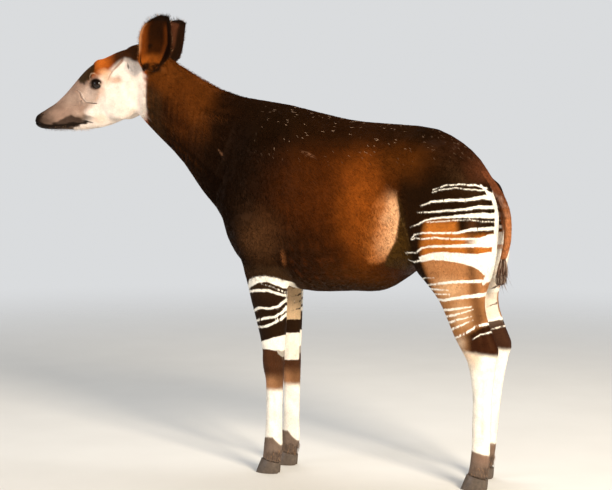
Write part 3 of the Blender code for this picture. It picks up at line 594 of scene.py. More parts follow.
# Stripes of the haunch and thigh in side view, from front to rear, with their widths along them
HAUNCH_STRIPES = (
    ([(0.775, 1.172), (0.826, 1.191), (0.878, 1.194), (0.927, 1.19), (0.965, 1.178)],
     (0.002, 0.005, 0.007)),
    ([(0.775, 1.163), (0.816, 1.175), (0.864, 1.18), (0.918, 1.173), (0.96, 1.171)], (0.002, 0.003, 0.005)),
    ([(0.724, 1.108), (0.77, 1.126), (0.841, 1.133), (0.897, 1.134), (0.964, 1.145), (1.0, 1.137)],
     (0.002, 0.01, 0.012, 0.019)),
    ([(0.712, 1.083), (0.773, 1.087), (0.833, 1.093), (0.898, 1.098), (0.945, 1.107), (1.03, 1.104)],
     (0.002, 0.007, 0.009, 0.014, 0.014)),
    ([(0.682, 1.024), (0.711, 1.037), (0.746, 1.055), (0.786, 1.063), (0.887, 1.073), (0.95, 1.076),
      (1.03, 1.07)],
     (0.003, 0.006, 0.008, 0.014, 0.023, 0.023)),
    ([(0.746, 1.046), (0.817, 1.052), (0.875, 1.057), (0.915, 1.059), (0.962, 1.053), (1.03, 1.047)],
     (0.002, 0.004, 0.004, 0.005)),
    ([(0.681, 0.977), (0.696, 0.995), (0.734, 1.005), (0.868, 1.008), (0.924, 1.021), (1.03, 1.027)],
     (0.003, 0.007, 0.008, 0.014, 0.016)),
    ([(0.687, 0.976), (0.7, 0.985), (0.729, 0.981), (0.783, 0.988), (0.826, 0.985), (0.96, 0.986)],
     (0.003, 0.006, 0.007, 0.008, 0.01)),
    ([(0.655, 0.922), (0.704, 0.927), (0.724, 0.943), (0.756, 0.953), (0.861, 0.958), (0.95, 0.962)],
     (0.004, 0.008, 0.012, 0.015)),
    ([(0.664, 0.893), (0.69, 0.887), (0.732, 0.9)], (0.004, 0.007, 0.012)),
    ([(0.705, 0.817), (0.74, 0.828), (0.776, 0.83)], (0.007, 0.004, 0.001)),
    ([(0.725, 0.796), (0.795, 0.809), (0.856, 0.818), (0.954, 0.823), (1.04, 0.824)],
     (0.006, 0.012, 0.014, 0.012)),
    ([(0.738, 0.783), (0.79, 0.784), (0.832, 0.785)], (0.007, 0.007, 0.001)),
    ([(0.748, 0.764), (0.8, 0.766), (0.838, 0.77)], (0.007, 0.006, 0.001)),
    ([(0.762, 0.744), (0.809, 0.743), (0.865, 0.755), (0.91, 0.762), (1.04, 0.776)],
     (0.01, 0.013, 0.018, 0.02)),
    ([(0.79, 0.7), (0.839, 0.708), (0.892, 0.718), (0.925, 0.722)], (0.01, 0.012, 0.008, 0.001)),
    ([(0.804, 0.675), (0.856, 0.688), (0.909, 0.705), (0.925, 0.712)], (0.01, 0.01, 0.006, 0.001)),
    ([(0.814, 0.65), (0.863, 0.668), (0.92, 0.684)], (0.009, 0.009, 0.001)),
    ([(0.824, 0.622), (0.873, 0.645), (0.925, 0.67)], (0.009, 0.009, 0.001)),
    ([(0.838, 0.588), (0.884, 0.611), (0.917, 0.63), (0.936, 0.645), (0.967, 0.653), (1.04, 0.658)],
     (0.007, 0.009, 0.011, 0.014)),
    ([(0.925, 0.596), (0.952, 0.613), (0.984, 0.622), (1.04, 0.63)], (0.001, 0.006, 0.009)),
)
REAR_BLOCK = [
    (0.88, 0.984), (0.955, 0.99), (0.99, 1.004), (1.06, 1.006), (1.06, 0.952), (0.97, 0.954), (0.88, 0.958),
]
BROAD_BAND = [
    (0.712, 0.909), (0.765, 0.928), (0.818, 0.934), (0.902, 0.93), (0.942, 0.928), (0.98, 0.934),
    (1.06, 0.939), (1.06, 0.82), (0.985, 0.826), (0.967, 0.848), (0.949, 0.869), (0.918, 0.884),
    (0.877, 0.894), (0.818, 0.901), (0.768, 0.901), (0.722, 0.89),
]
REAR_STRIP = [
    (0.945, 1.19), (0.982, 1.152), (1.001, 1.105), (1.007, 1.05), (1.01, 0.98), (1.006, 0.9), (0.986, 0.85),
    (0.965, 0.811),
]
STRIP_CORNER = [(0.96, 1.172), (0.99, 1.146), (1.012, 1.128), (1.004, 1.104), (0.99, 1.126), (0.972, 1.15)]
INNER_THIGH_LINES = (
    ([(0.9, 0.752), (0.955, 0.775), (1.01, 0.812)], (0.003, 0.007, 0.004)),
    ([(0.93, 0.7), (0.97, 0.716), (1.01, 0.742)], (0.001, 0.008, 0.012)),
)
HOCK_MARK = [(0.93, 0.64), (0.99, 0.668), (1.02, 0.672), (1.02, 0.66), (0.99, 0.652)]

# Bands of the forelegs in side view
FORELEG_STRIPES = (
    ([(0.05, 0.78), (0.1, 0.766), (0.16, 0.732)], (0.001, 0.004, 0.004)),
    ([(-0.05, 0.732), (-0.011, 0.744), (0.03, 0.752), (0.079, 0.753), (0.114, 0.74), (0.17, 0.722)],
     (0.01, 0.01)),
    ([(-0.03, 0.65), (0.007, 0.666), (0.032, 0.68), (0.075, 0.679), (0.113, 0.686), (0.15, 0.722)],
     (0.009, 0.01)),
    ([(-0.02, 0.608), (0.016, 0.624), (0.052, 0.637), (0.1, 0.645), (0.128, 0.664), (0.15, 0.7)],
     (0.009, 0.01)),
    ([(-0.01, 0.594), (0.022, 0.6), (0.051, 0.602), (0.086, 0.615), (0.122, 0.635), (0.15, 0.668)],
     (0.009, 0.01)),
)
FORE_TOP_BAND = [
    (-0.06, 0.755), (-0.018, 0.772), (-0.006, 0.794), (0.034, 0.809), (0.075, 0.811), (0.117, 0.802),
    (0.17, 0.78), (0.17, 0.742), (0.116, 0.772), (0.074, 0.789), (0.032, 0.782), (-0.018, 0.752),
    (-0.06, 0.735),
]
FORE_KNEE_BAND = [
    (-0.01, 0.522), (0.036, 0.54), (0.078, 0.556), (0.17, 0.58), (0.17, 0.462), (0.121, 0.481),
    (0.104, 0.505), (0.071, 0.511), (0.038, 0.51), (-0.01, 0.504),
]


def tint(colours, mask, hex_colour, strength=1.0):
    """Lays a colour over the others where the mask is above 0."""
    colours += (linear(hex_colour) - colours) * (np.asarray(mask, float) * strength)[:, None]


def paint_body(colours, points):
    """Neck, shoulder, barrel, flank and rump: dark chocolate with warmer and darker fields, some of them
    painted highlights and painted shade.
    """
    lay = partial(tint, colours)
    x, y, z = points.T
    small = wander(points, 0.07, 4)
    blotch = wander(points, 0.3, 3)
    soft = points + np.stack([small * 0.012, small * 0, blotch * 0.012], axis=1)
    sx = soft[:, 0]
    neck = 1.0 - rise(-0.12, 0.08, beyond(soft, NECK_PLANE))
    below_nape = 1.7 - z - 0.8 * (x + 0.5) + 0.02 * blotch
    # Painted highlight: the crest of the neck is reddish brown, and the neck is darker further down.
    lay(neck, "#5A2D0A", 0.92)
    lay(neck * rise(0.05, 0.15, below_nape), "#231005", 0.9)
    lay(neck * oval_patch(soft, (-0.33, 1.47), (0.045, 0.11), 0.8), "#4A2206", 0.75)
    lay(neck * rise(0.16, 0.3, below_nape), BLACK_BROWN, 0.9)
    lay(neck * (1 - rise(-0.445, -0.405, sx)) * rise(0.06, 0.14, below_nape), "#3C2816", 0.8)
    streaks = wander(points * (1.0, 1.0, 0.15), 0.016, 41)
    lay(neck * rise(0.1, 1.1, streaks), "#6E3C16", 0.35)
    lay(neck * rise(0.1, 1.1, -streaks), "#0E0502", 0.35)
    # Painted shade darkens the shoulder and upper arm.
    shoulder = rise(-0.16, -0.05, beyond(soft, NECK_PLANE)) * (1 - rise(0.1, 0.22, sx))
    lay(shoulder, "#100703", 0.92)
    # A painted highlight lightens the upper arm.
    lay(oval_patch(soft, (0.06, 0.985), (0.09, 0.085), 0.8), "#54361F", 0.85)
    # The barrel is warm brown, with a painted orange highlight across its middle.
    lay(oval_patch(soft, (0.39, 1.12), (0.24, 0.22), 0.8), WARM_BROWN, 0.8)
    lay(oval_patch(soft, (0.49, 1.11), (0.075, 0.2), 0.8), RUSSET_HIGHLIGHT, 0.75)
    lay(rise(1.27, 1.38, z) * rise(-0.1, 0.05, x), "#150A03", 0.8)
    # Painted shade on the lower barrel behind the elbow.
    lay(oval_patch(soft, (0.24, 0.9), (0.17, 0.13), 0.7), BLACK_BROWN, 0.6)
    # A painted highlight along the lower barrel.
    lay(oval_patch(soft, (0.47, 0.83), (0.12, 0.06), 0.8), "#4A2605", 0.6)
    wrinkles = wander(points * (1.0, 1.0, 0.25), 0.03, 42) * rise(0.08, 0.2, x) * (1 - rise(0.44, 0.54, x))
    lay(rise(0.2, 1.1, wrinkles) * (1 - rise(1.2, 1.3, z)), "#6E3410", 0.28)
    # A painted highlight on the swell before the flank fold, brightest near its edge.
    swell = inside(points, LIT_FLANK_SWELL, 0.004) * (1 - rise(1.09, 1.18, z))
    from_edge, _ = to_path(side_view(soft), SWELL_EDGE)
    lay(swell * (1 - rise(0.055, 0.12, from_edge)), "#9C5A26", 0.9)
    lay(swell * (1 - rise(0.02, 0.075, from_edge)) * rise(0.86, 0.99, z), "#E2B083", 0.9)
    lay(inside(points, FLANK_SKIN, 0.005), "#38260B", 0.94)
    crease = stroke(points, [(0.651, 1.06), (0.662, 1.01), (0.678, 0.94)], (0.002, 0.005, 0.002), 0.002)
    lay(crease, "#8A6A3A", 0.7)
    haunch = rise(0.645, 0.675, x + 0.02 * np.sin((z - 1.0) * 9)) * rise(0.78, 0.86, z)
    lay(haunch, "#130903", 0.92)
    lay(oval_patch(soft, (0.655, 1.27), (0.09, 0.06), 0.9), "#4A2405", 0.85)
    lay(rise(0.7, 0.86, x) * rise(1.2, 1.36, z), "#331A0C", 0.6)
    # A painted highlight along the top of the rump's rear.
    lay(rise(0.86, 0.96, x) * rise(1.17, 1.26, z), "#6E3E26", 0.7)
    belly = 1.0 - rise(0.77, 0.83, z)
    trunk = rise(0.12, 0.2, x) * (1 - rise(0.62, 0.7, x))
    lay(belly * trunk, "#2E1C06", 0.6)
    # Painted glints: light strokes on the coat of the left side.
    for path, widths in COAT_GLINTS:
        lay(stroke(soft, path, widths, 0.004) * (y < 0), "#8A6248", 0.75)


# The edge of the flank fold, the swell before it that carries a painted highlight, and the skin behind the
# fold
SWELL_EDGE = [(0.63, 1.16), (0.645, 1.073), (0.624, 0.974), (0.579, 0.887)]
LIT_FLANK_SWELL = [(0.48, 1.15), (0.6, 1.19), (0.632, 1.169), *SWELL_EDGE[1:], (0.52, 0.88), (0.48, 0.98)]
FLANK_SKIN = [
    (0.634, 1.15), (0.652, 1.12), (0.676, 1.01), (0.7, 0.9), (0.64, 0.85), (0.575, 0.87), (0.579, 0.887),
    (0.624, 0.974), (0.645, 1.073),
]
# Painted glints in side view: path and widths
COAT_GLINTS = (
    ([(-0.128, 1.282), (-0.14, 1.3), (-0.152, 1.314)], (0.004, 0.016, 0.004)),
    ([(0.226, 1.307), (0.262, 1.3), (0.292, 1.293)], (0.004, 0.01, 0.003)),
)


def paint_hindquarters(colours, points, ragged, inward):
    """The thigh with painted sunlight on it, its white stripes, the white strip down the buttock and the
    bands of the hind leg.
    """
    lay = partial(tint, colours)
    x, _, z = points.T
    behind = rise(0.6, 0.64, x)
    lay(behind * (1 - rise(1.0, 1.08, z)) * rise(0.66, 0.7, x + 0.12 * (z - 1.0)), BLACK_BROWN, 0.9)
    # Painted sunlight on the thigh: warm orange-brown, paler low down, with lighter sunlit patches.
    lit = behind * inside(points, THIGH_LIT, 0.018)
    lay(lit, "#B56A28", 0.95)
    lay(lit * (1 - rise(0.89, 0.925, z)), "#B07A4E", 0.92)
    lay(lit * (1 - rise(0.68, 0.8, z)), "#96683F", 0.85)
    for middle, reach in (((0.835, 0.79), (0.055, 0.035)), ((0.88, 0.69), (0.035, 0.04))):
        lay(lit * oval_patch(points, middle, reach, 0.9), "#DDB184", 0.7)
    # A painted shadow band down the thigh.
    shade = stroke(points, [(0.925, 1.1), (0.92, 0.95), (0.93, 0.8), (0.945, 0.66)], (0.03, 0.034), 0.016)
    lay(behind * shade * (1 - rise(1.04, 1.1, z)), "#4A2C18", 0.7)
    tilted = ragged[:, 2] - 0.35 * (ragged[:, 0] - 0.97)
    cannon = 1 - rise(-0.012, 0.012, ragged[:, 2] - 0.536 + 0.1 * (x - 0.95))
    inner = behind * inward * (1 - rise(0.9, 0.97, z)) * rise(0.72, 0.76, x)
    lay(inner, "#F0E2D0", 0.95)
    lay(inner * (1 - rise(0.655, 0.66, tilted)), "#3C2416", 0.92)
    for path, widths in INNER_THIGH_LINES:
        lay(inner * stroke(ragged, path, widths), "#3A241A", 0.9)
    marks = np.zeros(len(points))
    for path, widths in HAUNCH_STRIPES:
        slim = [max(0.003, width * 0.84) for width in widths]
        marks = np.maximum(marks, stroke(ragged, path, slim, 0.0008))
    marks = np.maximum(marks, inside(ragged, REAR_BLOCK, 0.001) * rise(0.895, 0.965, x))
    marks = np.maximum(marks, inside(ragged, BROAD_BAND, 0.001))
    strip = stroke(ragged, REAR_STRIP, (0.005, 0.01, 0.015, 0.022, 0.03, 0.01), 0.0012)
    marks = np.maximum(marks, strip * (np.abs(points[:, 1]) > 0.034))
    marks = np.maximum(marks, inside(ragged, STRIP_CORNER, 0.001))
    low_edge = z - 0.35 * (x - 0.93)
    dark_low = behind * (1 - rise(0.59, 0.64, low_edge)) * (1 - cannon)
    lay(dark_low, "#33190D", 0.9)
    lay(dark_low * (1 - rise(0.88, 0.925, x)), "#A97B52", 0.85)
    lay(dark_low * oval_patch(points, (0.865, 0.58), (0.022, 0.028), 0.9), "#E8CDB0", 0.75)
    lay(behind * marks * (z > 0.556), WHITE)
    lay(inner * inside(ragged, HOCK_MARK, 0.001), WHITE)
    low = behind * cannon
    lay(low, WHITE, 0.97)
    lay(low * rise(0.43, 0.54, z) * (1 - rise(0.93, 0.98, x)), "#DDB58C", 0.7)
    top = 0.152 + 0.26 * (0.935 - x)
    pastern = behind * (1 - rise(-0.005, 0.005, ragged[:, 2] - top))
    lay(pastern, DARK_GREY, 0.95)
    lay(pastern * rise(0.07, 0.15, z) * rise(0.9, 0.97, x), "#94705C", 0.5)


# The part of the thigh painted as in sunlight, in side view
THIGH_LIT = [
    (0.745, 1.046), (0.8, 1.056), (0.865, 1.052), (0.872, 1.01), (0.93, 1.0), (1.06, 1.0), (1.06, 0.7),
    (0.96, 0.655), (0.915, 0.63), (0.85, 0.588), (0.815, 0.65), (0.79, 0.72), (0.765, 0.79), (0.745, 0.85),
    (0.728, 0.9), (0.722, 0.96),
]


def paint_forelegs(colours, points, ragged, inward):
    """Dark forearm, white bands, brown knee, white cannon and dark pastern."""
    lay = partial(tint, colours)
    x, _, z = points.T
    leg = (1.0 - rise(0.155, 0.175, x)) * (1 - rise(0.835, 0.865, z)) * (x > -0.2)
    lay(leg, "#21140B", 0.92)
    lay(leg * rise(0.7, 0.8, z), "#3A2818", 0.6)
    # A painted highlight on the elbow.
    lay(oval_patch(points, (0.15, 0.893), (0.01, 0.028), 0.6) * (x < 0.2), "#A8683C", 0.6)
    marks = np.zeros(len(points))
    for path, widths in FORELEG_STRIPES:
        marks = np.maximum(marks, stroke(ragged, path, widths, 0.0008))
    marks = np.maximum(marks, inside(ragged, FORE_TOP_BAND, 0.001))
    marks = np.maximum(marks, inside(ragged, FORE_KNEE_BAND, 0.0012))
    # The inner sides of the forelegs above the knee are white, dulled to tan by painted shade from the
    # belly.
    pale = inward * (ragged[:, 2] > 0.618) * (ragged[:, 2] < 0.775)
    for start, end, width in (
        ((0.11, 0.745), (0.16, 0.758), 0.009), ((0.112, 0.712), (0.16, 0.728), 0.009),
        ((0.112, 0.682), (0.16, 0.7), 0.009), ((0.108, 0.655), (0.16, 0.668), 0.008),
    ):
        pale = pale * (1 - stroke(ragged, [start, end], (0.002, width), 0.001))
    below = inward * (ragged[:, 2] < 0.562) * (ragged[:, 2] > 0.449)
    lay(leg * marks * (1 - inward), WHITE)
    lay(leg * pale, "#CDB08C")
    lay(leg * below, "#F6EBDC")
    knee_top = np.where(inward > 0.5, 0.449, 0.506 + 0.006 * np.sin((x - 0.02) * 30))
    knee = leg * (1 - rise(-0.003, 0.003, ragged[:, 2] - knee_top))
    lay(knee * (1 - marks * (z > 0.46) * (1 - inward)), "#4C2D1B", 0.95)
    lay(knee * (1 - rise(0.37, 0.425, z)), "#B9855C", 0.85)
    lay(knee * rise(0.075, 0.115, x), "#3E2719", 0.6)
    cannon = leg * (1 - rise(-0.014, 0.014, ragged[:, 2] - 0.345))
    lay(cannon, WHITE, 0.97)
    top = 0.15 - 1.1 * np.maximum(x - 0.085, 0) - 0.4 * np.maximum(0.06 - x, 0)
    pastern = leg * (1 - rise(-0.005, 0.005, ragged[:, 2] - top))
    lay(pastern, DARK_GREY, 0.95)
    lay(pastern * rise(0.11, 0.16, z), "#5A4638", 0.5)
    coronet = leg * (1 - rise(-0.003, 0.003, ragged[:, 2] - 0.058 + 0.26 * (x - 0.06)))
    lay(coronet, CREAM, 0.9)


# Fields of the face in side view
CHEEK = [
    (-0.734, 1.38), (-0.8, 1.415), (-0.792, 1.44), (-0.778, 1.472), (-0.742, 1.496), (-0.712, 1.52),
    (-0.698, 1.555), (-0.69, 1.583), (-0.698, 1.61), (-0.678, 1.622), (-0.658, 1.633), (-0.641, 1.654),
    (-0.62, 1.67), (-0.597, 1.684), (-0.547, 1.68), (-0.522, 1.669), (-0.504, 1.645), (-0.494, 1.599),
    (-0.484, 1.517), (-0.483, 1.48), (-0.51, 1.44), (-0.6, 1.4),
]
LOWER_LIP = [
    (-1.06, 1.42), (-1.0, 1.409), (-0.953, 1.417), (-0.905, 1.433), (-0.876, 1.448), (-0.856, 1.453),
    (-0.833, 1.445), (-0.782, 1.432), (-0.752, 1.421), (-0.775, 1.418), (-0.812, 1.413), (-0.848, 1.402),
    (-0.88, 1.38), (-1.06, 1.37),
]
OLIVE_PATCH = [
    (-0.764, 1.7), (-0.806, 1.662), (-0.83, 1.625), (-0.826, 1.598), (-0.794, 1.588), (-0.764, 1.594),
    (-0.744, 1.604), (-0.738, 1.62), (-0.722, 1.638), (-0.734, 1.656),
]
# A painted shadow under the lower lip, in side view
LIP_SHADOW = [(-1.03, 1.408), (-0.95, 1.406), (-0.89, 1.408), (-0.84, 1.416), (-0.79, 1.424), (-0.758, 1.422)]
CHIN = [
    (-0.86, 1.4), (-0.848, 1.404), (-0.812, 1.415), (-0.775, 1.421), (-0.74, 1.424), (-0.7, 1.42),
    (-0.7, 1.36), (-0.86, 1.36),
]
# Soft tints of the face: middle and reach in side view, colour and strength; the dark one under the corner
# of the mouth is painted shade
FACE_TINTS = (
    ((-0.682, 1.63), (0.024, 0.014), "#E2A878", 0.7), ((-0.666, 1.608), (0.02, 0.026), "#E6BC9C", 0.75),
    ((-0.623, 1.598), (0.022, 0.013), "#BC8F70", 0.7), ((-0.755, 1.535), (0.04, 0.036), "#CFB8A8", 0.8),
    ((-0.69, 1.56), (0.014, 0.03), "#D9B59C", 0.6), ((-0.795, 1.442), (0.045, 0.01), "#54402F", 0.8),
    ((-0.72, 1.44), (0.03, 0.016), "#E9C9AC", 0.6), ((-0.815, 1.462), (0.03, 0.014), "#BFA28E", 0.6),
    ((-0.93, 1.49), (0.04, 0.018), "#7C6353", 0.7), ((-0.788, 1.586), (0.012, 0.009), "#2A1C14", 0.85),
    ((-0.845, 1.52), (0.04, 0.03), "#B39A88", 0.55),
)
# Lines of the face in side view: path, widths, soft edge, colour and strength
FACE_LINES = (
    ([(-0.662, 1.6), (-0.653, 1.621), (-0.639, 1.641), (-0.62, 1.66), (-0.602, 1.68)],
     (0.001, 0.004, 0.007, 0.01, 0.012), 0.004, "#7A4A24", 0.75),
    # A pale line over the eye, partly the lid's colour and partly a painted highlight on the fold over it
    ([(-0.746, 1.6), (-0.75, 1.615), (-0.744, 1.628), (-0.725, 1.628), (-0.704, 1.618)],
     (0.002, 0.004, 0.004, 0.002), 0.0015, "#C9A585", 0.85),
    ([(-0.811, 1.556), (-0.793, 1.546), (-0.784, 1.528), (-0.78, 1.517), (-0.766, 1.508), (-0.735, 1.506)],
     (0.002, 0.005, 0.003), 0.0015, "#E8D3C0", 0.75),
    # Painted shade in the slit under the ear
    ([(-0.573, 1.668), (-0.571, 1.644)], (0.003, 0.009, 0.002), 0.002, "#3A2C22", 0.85),
    ([(-0.7, 1.56), (-0.712, 1.53), (-0.728, 1.51)], (0.001, 0.004, 0.001), 0.003, "#D9A07A", 0.6),
)


def paint_head(colours, points):
    """Pale cheek and jaw, chestnut brow and crown with painted shade of the ears on the crown, grey muzzle
    with a black nose, and dark round the eye.
    """
    lay = partial(tint, colours)
    x, _, z = points.T
    blur = wander(points, 0.035, 9)
    soft = points + np.stack([blur * 0.005, blur * 0, blur * 0.004], axis=1)
    head = 1.0 - rise(-0.004, 0.004, beyond(points, ((-0.488, 0.0, 1.59), (1.0, 0.0, -0.08))))
    lay(head, "#8F4412", 0.97)
    lay(head * oval_patch(soft, (-0.71, 1.672), (0.034, 0.026), 0.8), "#B8601F", 0.85)
    # Painted shade of the ears darkens the crown.
    crown = head * rise(-0.672, -0.63, x + 0.35 * (z - 1.69)) * rise(1.64, 1.668, z - 0.16 * (x + 0.63))
    lay(crown, "#341B0A", 0.92)
    grey = head * (1.0 - rise(-0.8, -0.745, soft[:, 0]))
    lay(head * (1 - rise(1.594, 1.622, z - 0.3 * (soft[:, 0] + 0.74))) * (x < -0.55), GREY_BROWN, 0.97)
    lay(grey, GREY_BROWN, 0.97)
    for outline, edge, strength in ((CHEEK, 0.016, 0.97), (CHIN, 0.006, 0.9)):
        lay(head * inside(soft, outline, edge), CREAM, strength)
    for middle, reach, hex_colour, strength in FACE_TINTS:
        lay(head * oval_patch(soft, middle, reach, 0.8), hex_colour, strength)
    bridge = head * (1 - rise(-0.83, -0.79, x)) * rise(0.0, 0.022, z - 1.64 + 1.02 * (-0.8 - x))
    lay(bridge, "#6E5646", 0.75)
    lay(head * inside(soft, OLIVE_PATCH, 0.008), "#33240F", 0.94)
    for path, widths, soft_edge, hex_colour, strength in FACE_LINES:
        lay(head * stroke(points, path, widths, soft_edge), hex_colour, strength)
    dark_front = 1.0 - rise(-0.995, -0.9, soft[:, 0] + 0.4 * (z - 1.45))
    lay(dark_front, "#4A3A30", 0.88)
    nose = 1.0 - rise(-1.016, -0.98, soft[:, 0] + 0.3 * (z - 1.44))
    lay(nose, BLACK, 0.94)
    lay(head * inside(soft, LOWER_LIP, 0.004), "#3A2C24", 0.9)
    # A painted shadow under the lower lip.
    lip_shadow = stroke(soft, LIP_SHADOW, (0.026, 0.022, 0.016, 0.013, 0.006), 0.003)
    lay(head * lip_shadow, BLACK, 0.92)
    one_side = on_left(points)
    # The mouth and nostril in black, and painted shade in the folds over the lip and before the cheek.
    for path, width, hex_colour, strength in (
        (MOUTH, 0.007, BLACK, 0.95), (NOSTRIL, 0.006, BLACK, 0.98), (LIP_FOLD, 0.0026, "#3A261C", 0.9),
        (CHEEK_FOLD, 0.003, "#3A261C", 0.92),
    ):
        mask = rise(-0.0014, 0.0014, width / 2 + 0.0006 - to_path(one_side, path)[0])
        lay(mask, hex_colour, strength)
    for eye in EYES.values():
        local = eye.seen_from(points)
        opening = eye.openness(local)
        close = np.linalg.norm(local, axis=1) < 0.055
        around = np.linalg.norm((local[:, :2] - (0.006, -0.002)) / (1.35, 1.0), axis=1)
        lay(close * (1 - rise(0.018, 0.029, around)), "#4A362A", 0.8)
        lay(close * (1 - rise(1.1, 1.45, opening)), BLACK, 0.95)
        corner = np.linalg.norm((local[:, :2] - (0.024, -0.006)) / (1.6, 0.8), axis=1)
        lay(close * (1 - rise(0.003, 0.008, corner)), BLACK, 0.85)


def paint_ears(colours, points, normals, ears):
    """Chestnut within, brighter along the edges of the cup, with a painted highlight along the front edge;
    near black behind and on tip and rim.
    """
    lay = partial(tint, colours)
    for word, side in SIDES.items():
        mask = (ears == side).astype(float)
        if not mask.any():
            continue
        share, across = ear_places(word, points)
        facing = np.array(ear_axes(word)[1])
        within = mask * rise(-0.05, 0.3, normals @ facing)
        lay(mask, "#160C06", 0.97)
        reddish = mask * (1 - within) * rise(0.1, 0.3, share) * (1 - rise(-0.35, -0.05, across))
        lay(reddish, "#4C2A1A", 0.85)
        lay(within, "#2E1303", 0.97)
        side_glow = rise(0.35, 0.75, np.abs(across + 0.06)) * (1 - rise(0.7, 0.9, share))
        lay(within * side_glow, "#7A3B10", 0.8)
        lay(within * (1 - rise(0.14, 0.32, share)), "#9A5219", 0.8)
        dim = rise(0.38, 0.62, share) * (1 - rise(0.25, 0.62, np.abs(across + 0.06)))
        lay(within * dim, "#1E0C03", 0.8)
        spot = 1 - rise(0.02, 0.05, np.hypot((share - 0.4) * 0.8, (across + 0.38) * 0.25))
        lay(within * spot, "#0E0603", 0.9)
        dark_rim = np.maximum(rise(0.62, 0.78, across), rise(0.86, 0.93, share))
        dark_rim = np.maximum(dark_rim, 1 - rise(0.08, 0.13, share))
        lay(mask * dark_rim, "#0F0805", 0.96)
        # A painted highlight along the front edge inside the cup.
        rim_highlight = rise(0.8, 0.93, -across) * rise(0.28, 0.4, share) * (1 - rise(0.8, 0.9, share))
        lay(within * rim_highlight, "#B07A50", 0.8)


def ear_axes(word):
    """The way from the root of the ear to its tip, the way its cup opens, and the way to its rear edge."""
    side = SIDES[word]
    if side == LEFT:
        along, facing = Vector((0.12, 0.34 * side, 0.93)), Vector((0.16, 0.97 * side, -0.12))
    else:
        along, facing = Vector((0.02, 0.31 * side, 0.95)), Vector((-0.93, 0.36 * side, 0.05))
    along.normalize()
    facing = (facing - along * facing.dot(along)).normalized()
    return along, facing, facing.cross(along) * side


EAR_ROOT = (-0.4588, 0.066, 1.648)
EAR_LENGTH = 0.229
EAR_WIDTH = 0.122
# Shares of the ear's length, and its rearward shift and half width there in half widths of the ear
EAR_FORM = (
    (0.0, 0.18, 0.48, 0.64, 0.78, 0.88, 0.95, 1.0), (-0.1, 0.04, 0.27, 0.3, 0.39, 0.54, 0.72, 0.9),
    (0.6, 0.83, 1.11, 1.09, 0.97, 0.79, 0.57, 0.34),
)


def ear_places(word, points):
    """How far up the ear each point is, 0 to 1, and how far across it, -1 at the front edge to 1."""
    along, _, rearward = (np.array(axis) for axis in ear_axes(word))
    away = points - np.array((EAR_ROOT[0], EAR_ROOT[1] * SIDES[word], EAR_ROOT[2]))
    share = away @ along / EAR_LENGTH
    shift = np.interp(share, EAR_FORM[0], EAR_FORM[1])
    half = np.interp(share, EAR_FORM[0], EAR_FORM[2])
    return share, (away @ rearward / (EAR_WIDTH / 2) - shift) / half


def markings(points, normals, ears):
    """The colour of the coat at each point, linear."""
    ragged = points + np.stack(
        [wander(points, 0.012, 21) * 0.0008, np.zeros(len(points)), wander(points, 0.02, 22) * 0.001],
        axis=1,
    )
    far_side = points[:, 1] > 0
    ragged[far_side] += (0.006, 0.0, 0.004)
    inward = rise(0.15, 0.45, -normals[:, 1] * np.sign(points[:, 1]))
    colours = np.tile(linear(CHOCOLATE), (len(points), 1))
    paint_body(colours, points)
    paint_hindquarters(colours, points, ragged, inward)
    paint_forelegs(colours, points, ragged, inward)
    paint_head(colours, points)
    paint_ears(colours, points, normals, ears)
    tail = tail_share(points)
    tint(colours, tail, "#6E3E26", 0.92)
    # Painted sunlight makes the lower tail light orange.
    tint(colours, tail * (1 - rise(0.98, 1.16, points[:, 2])), "#CC8452", 0.88)
    tint(colours, tail * (1 - rise(0.88, 0.905, points[:, 2])), "#4E3C32", 0.9)
    return np.clip(colours, 0.0, 1.0)


def tail_share(points):
    """1 on the tail, 0 elsewhere."""
    x, y, z = points.T
    start = np.interp(z, [0.78, 0.9, 1.0, 1.1, 1.17, 1.23], [0.975, 0.985, 0.995, 0.978, 0.945, 0.9])
    return rise(-0.004, 0.006, x - start) * (np.abs(y) < 0.05) * (z < 1.24) * (z > 0.76)


def bareness(points):
    """1 on the naked nose, lips and rims of the lids, 0 where hair grows."""
    nose = 1.0 - rise(-1.02, -0.998, points[:, 0] + 0.1 * (points[:, 2] - 1.44))
    one_side = on_left(points)
    bare = np.maximum(nose, 1.0 - rise(0.003, 0.007, to_path(one_side, MOUTH)[0]))
    bare = np.maximum(bare, 1.0 - rise(0.004, 0.008, to_path(one_side, NOSTRIL)[0]))
    for eye in EYES.values():
        local = eye.seen_from(points)
        close = np.linalg.norm(local, axis=1) < 0.04
        bare = np.maximum(bare, close * (1 - rise(1.25, 1.45, eye.openness(local))))
    return bare


